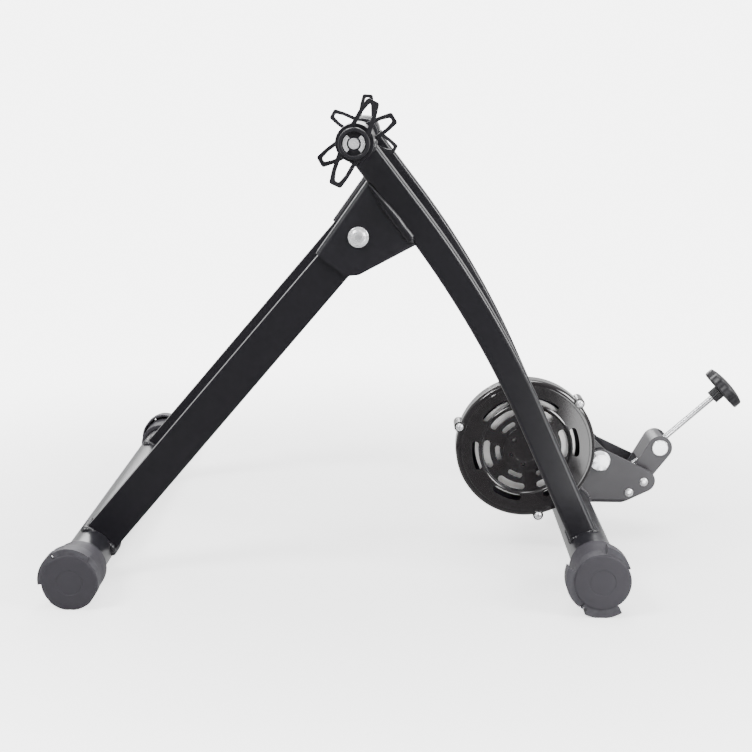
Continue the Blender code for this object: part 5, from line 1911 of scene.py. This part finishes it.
@dataclass(frozen=True)
class Lamp:
    """A square soft light."""

    name: str
    spot: Triple
    aim: Triple
    size: float
    power: float

    def build(self) -> None:
        """Adds the light."""
        data = bpy.data.lights.new(self.name, "AREA")
        data.size = self.size
        data.energy = self.power
        lamp = bpy.data.objects.new(self.name, data)
        lamp.visible_camera = False
        lamp.visible_diffuse = self.size > 0.5
        lamp.location = self.spot
        way = Vector(self.aim) - Vector(self.spot)
        lamp.rotation_euler = way.to_track_quat("-Z", "Y").to_euler()
        bpy.context.scene.collection.objects.link(lamp)


@dataclass(frozen=True)
class Studio:
    """A pale floor, soft lights and the photo's camera."""

    floor_size: float = 8.0
    white: float = 6.0
    sky: Spot = (0.22, 1.15)
    camera_spot: Triple = (-0.0222, -1.4328, 0.4373)
    camera_turn: Triple = (78.8172, -0.5810, 0.9284)
    lens: float = 69.56
    lamps: tuple[Lamp, ...] = (
        Lamp("key", (-1.3, -1.1, 1.9), (0, 0, 0.15), 0.9, 75),
        Lamp("fill", (1.6, -0.9, 1.1), (0, 0, 0.15), 0.9, 55),
        Lamp("top", (0.1, 0.2, 2.2), (0, 0, 0.1), 1.2, 40),
        Lamp("card", (0.335, -0.44, 0.04), (0.335, 0.0, 0.04), 0.30, 1.7),
        Lamp("rim", (-0.4, 1.9, 1.3), (0, 0, 0.2), 1.4, 50),
    )

    def build(self) -> None:
        """Builds the floor, lights, surroundings and camera."""
        self.floor()
        self.surroundings()
        for lamp in self.lamps:
            lamp.build()
        self.camera()

    def floor(self) -> None:
        """A plain pale floor, which fades to white far out where the camera sees it."""
        work = bmesh.new()
        bmesh.ops.create_grid(work, x_segments=1, y_segments=1, size=self.floor_size / 2)
        floor = as_object(work, "studio_floor")
        material = bpy.data.materials.new("studio_white")
        nodes = Nodes(material, "Principled BSDF", "Object")
        nodes.shader.inputs["Base Color"].default_value = (0.88, 0.88, 0.88, 1)
        nodes.shader.inputs["Roughness"].default_value = 0.9
        far = nodes.add("VectorMath", nodes.place, operation="LENGTH").outputs["Value"]
        span = {"From_Min": 0.25, "From_Max": 0.95, "To_Min": 0.30}
        fade = nodes.add("MapRange", far, interpolation_type="SMOOTHSTEP", **span)
        feeds = fade.outputs["Result"], nodes.add("LightPath").outputs["Is Camera Ray"]
        seen = nodes.add("Math", *feeds, operation="MULTIPLY")
        glow = nodes.add("Emission", Strength=self.white)
        feeds = seen.outputs["Value"], nodes.shader.outputs[0], glow.outputs[0]
        mix = nodes.add("MixShader", *feeds)
        nodes.link(mix.outputs[0], nodes.tree.nodes["Material Output"].inputs["Surface"])
        floor.data.materials.append(material)
        floor.visible_glossy = False

    def surroundings(self) -> None:
        """A white background, and a sky that lights more from behind than from the front."""
        world = bpy.data.worlds.new("studio")
        bpy.context.scene.world = world
        nodes = Nodes(world, "Background", "Generated")
        nodes.shader.inputs["Color"].default_value = (1, 1, 1, 1)
        split = nodes.add("SeparateXYZ", nodes.place).outputs["Y"]
        span = {"From_Min": -1.0, "To_Min": self.sky[0], "To_Max": self.sky[1]}
        light = nodes.add("MapRange", split, **span)
        mix = nodes.add("Mix", nodes.add("LightPath").outputs["Is Camera Ray"], B=self.white)
        nodes.link(light.outputs["Result"], mix.inputs["A"])
        nodes.link(mix.outputs["Result"], nodes.shader.inputs["Strength"])

    def camera(self) -> None:
        """The camera, where the photo was taken from."""
        data = bpy.data.cameras.new("camera")
        data.lens = self.lens
        data.sensor_width = 36
        camera = bpy.data.objects.new("camera", data)
        camera.location = self.camera_spot
        camera.rotation_euler = [math.radians(angle) for angle in self.camera_turn]
        bpy.context.scene.collection.objects.link(camera)
        bpy.context.scene.camera = camera


FRONT_STEPS = (
    (-46, 52, 0.0242, 0.0242), (52, 98, 0.0280, 0.0295), (98, 186, 0.0295, 0.0272),
    (186, 226, 0.0242, 0.0242), (226, 314, 0.0248, 0.0248),
)
REAR_STEPS = (
    (-57, 28, 0.0245, 0.0245), (28, 84, 0.0262, 0.0312), (84, 158, 0.0245, 0.0245),
    (158, 236, 0.0318, 0.0288), (236, 244, 0.0265, 0.0265), (244, 303, 0.0319, 0.0319),
)


def main() -> None:
    """Builds the trainer and its studio."""
    logging.basicConfig(level=logging.INFO, format="%(message)s")
    rear = RearFrame()
    rear.build()
    FrontFrame().build()
    for side in Side:
        FoldJoint(side).build(rear)
        FootCap("front", side, PLAN.front_bar, FRONT_STEPS, 0.0, (122, 187, 270)).build()
        FootCap("rear", side, PLAN.rear_bar, REAR_STEPS, 0.0, (92, 231, 306)).build()
    AxleClamp(Side.LEFT, 65.8, 31.0).build()
    AxleClamp(Side.RIGHT, 87.0, 151.0).build()
    bracket = UnitBracket()
    bracket.build()
    Adjuster(bracket.pins).build()
    ResistanceUnit().build()
    Studio().build()


if __name__ == "__main__":
    main()
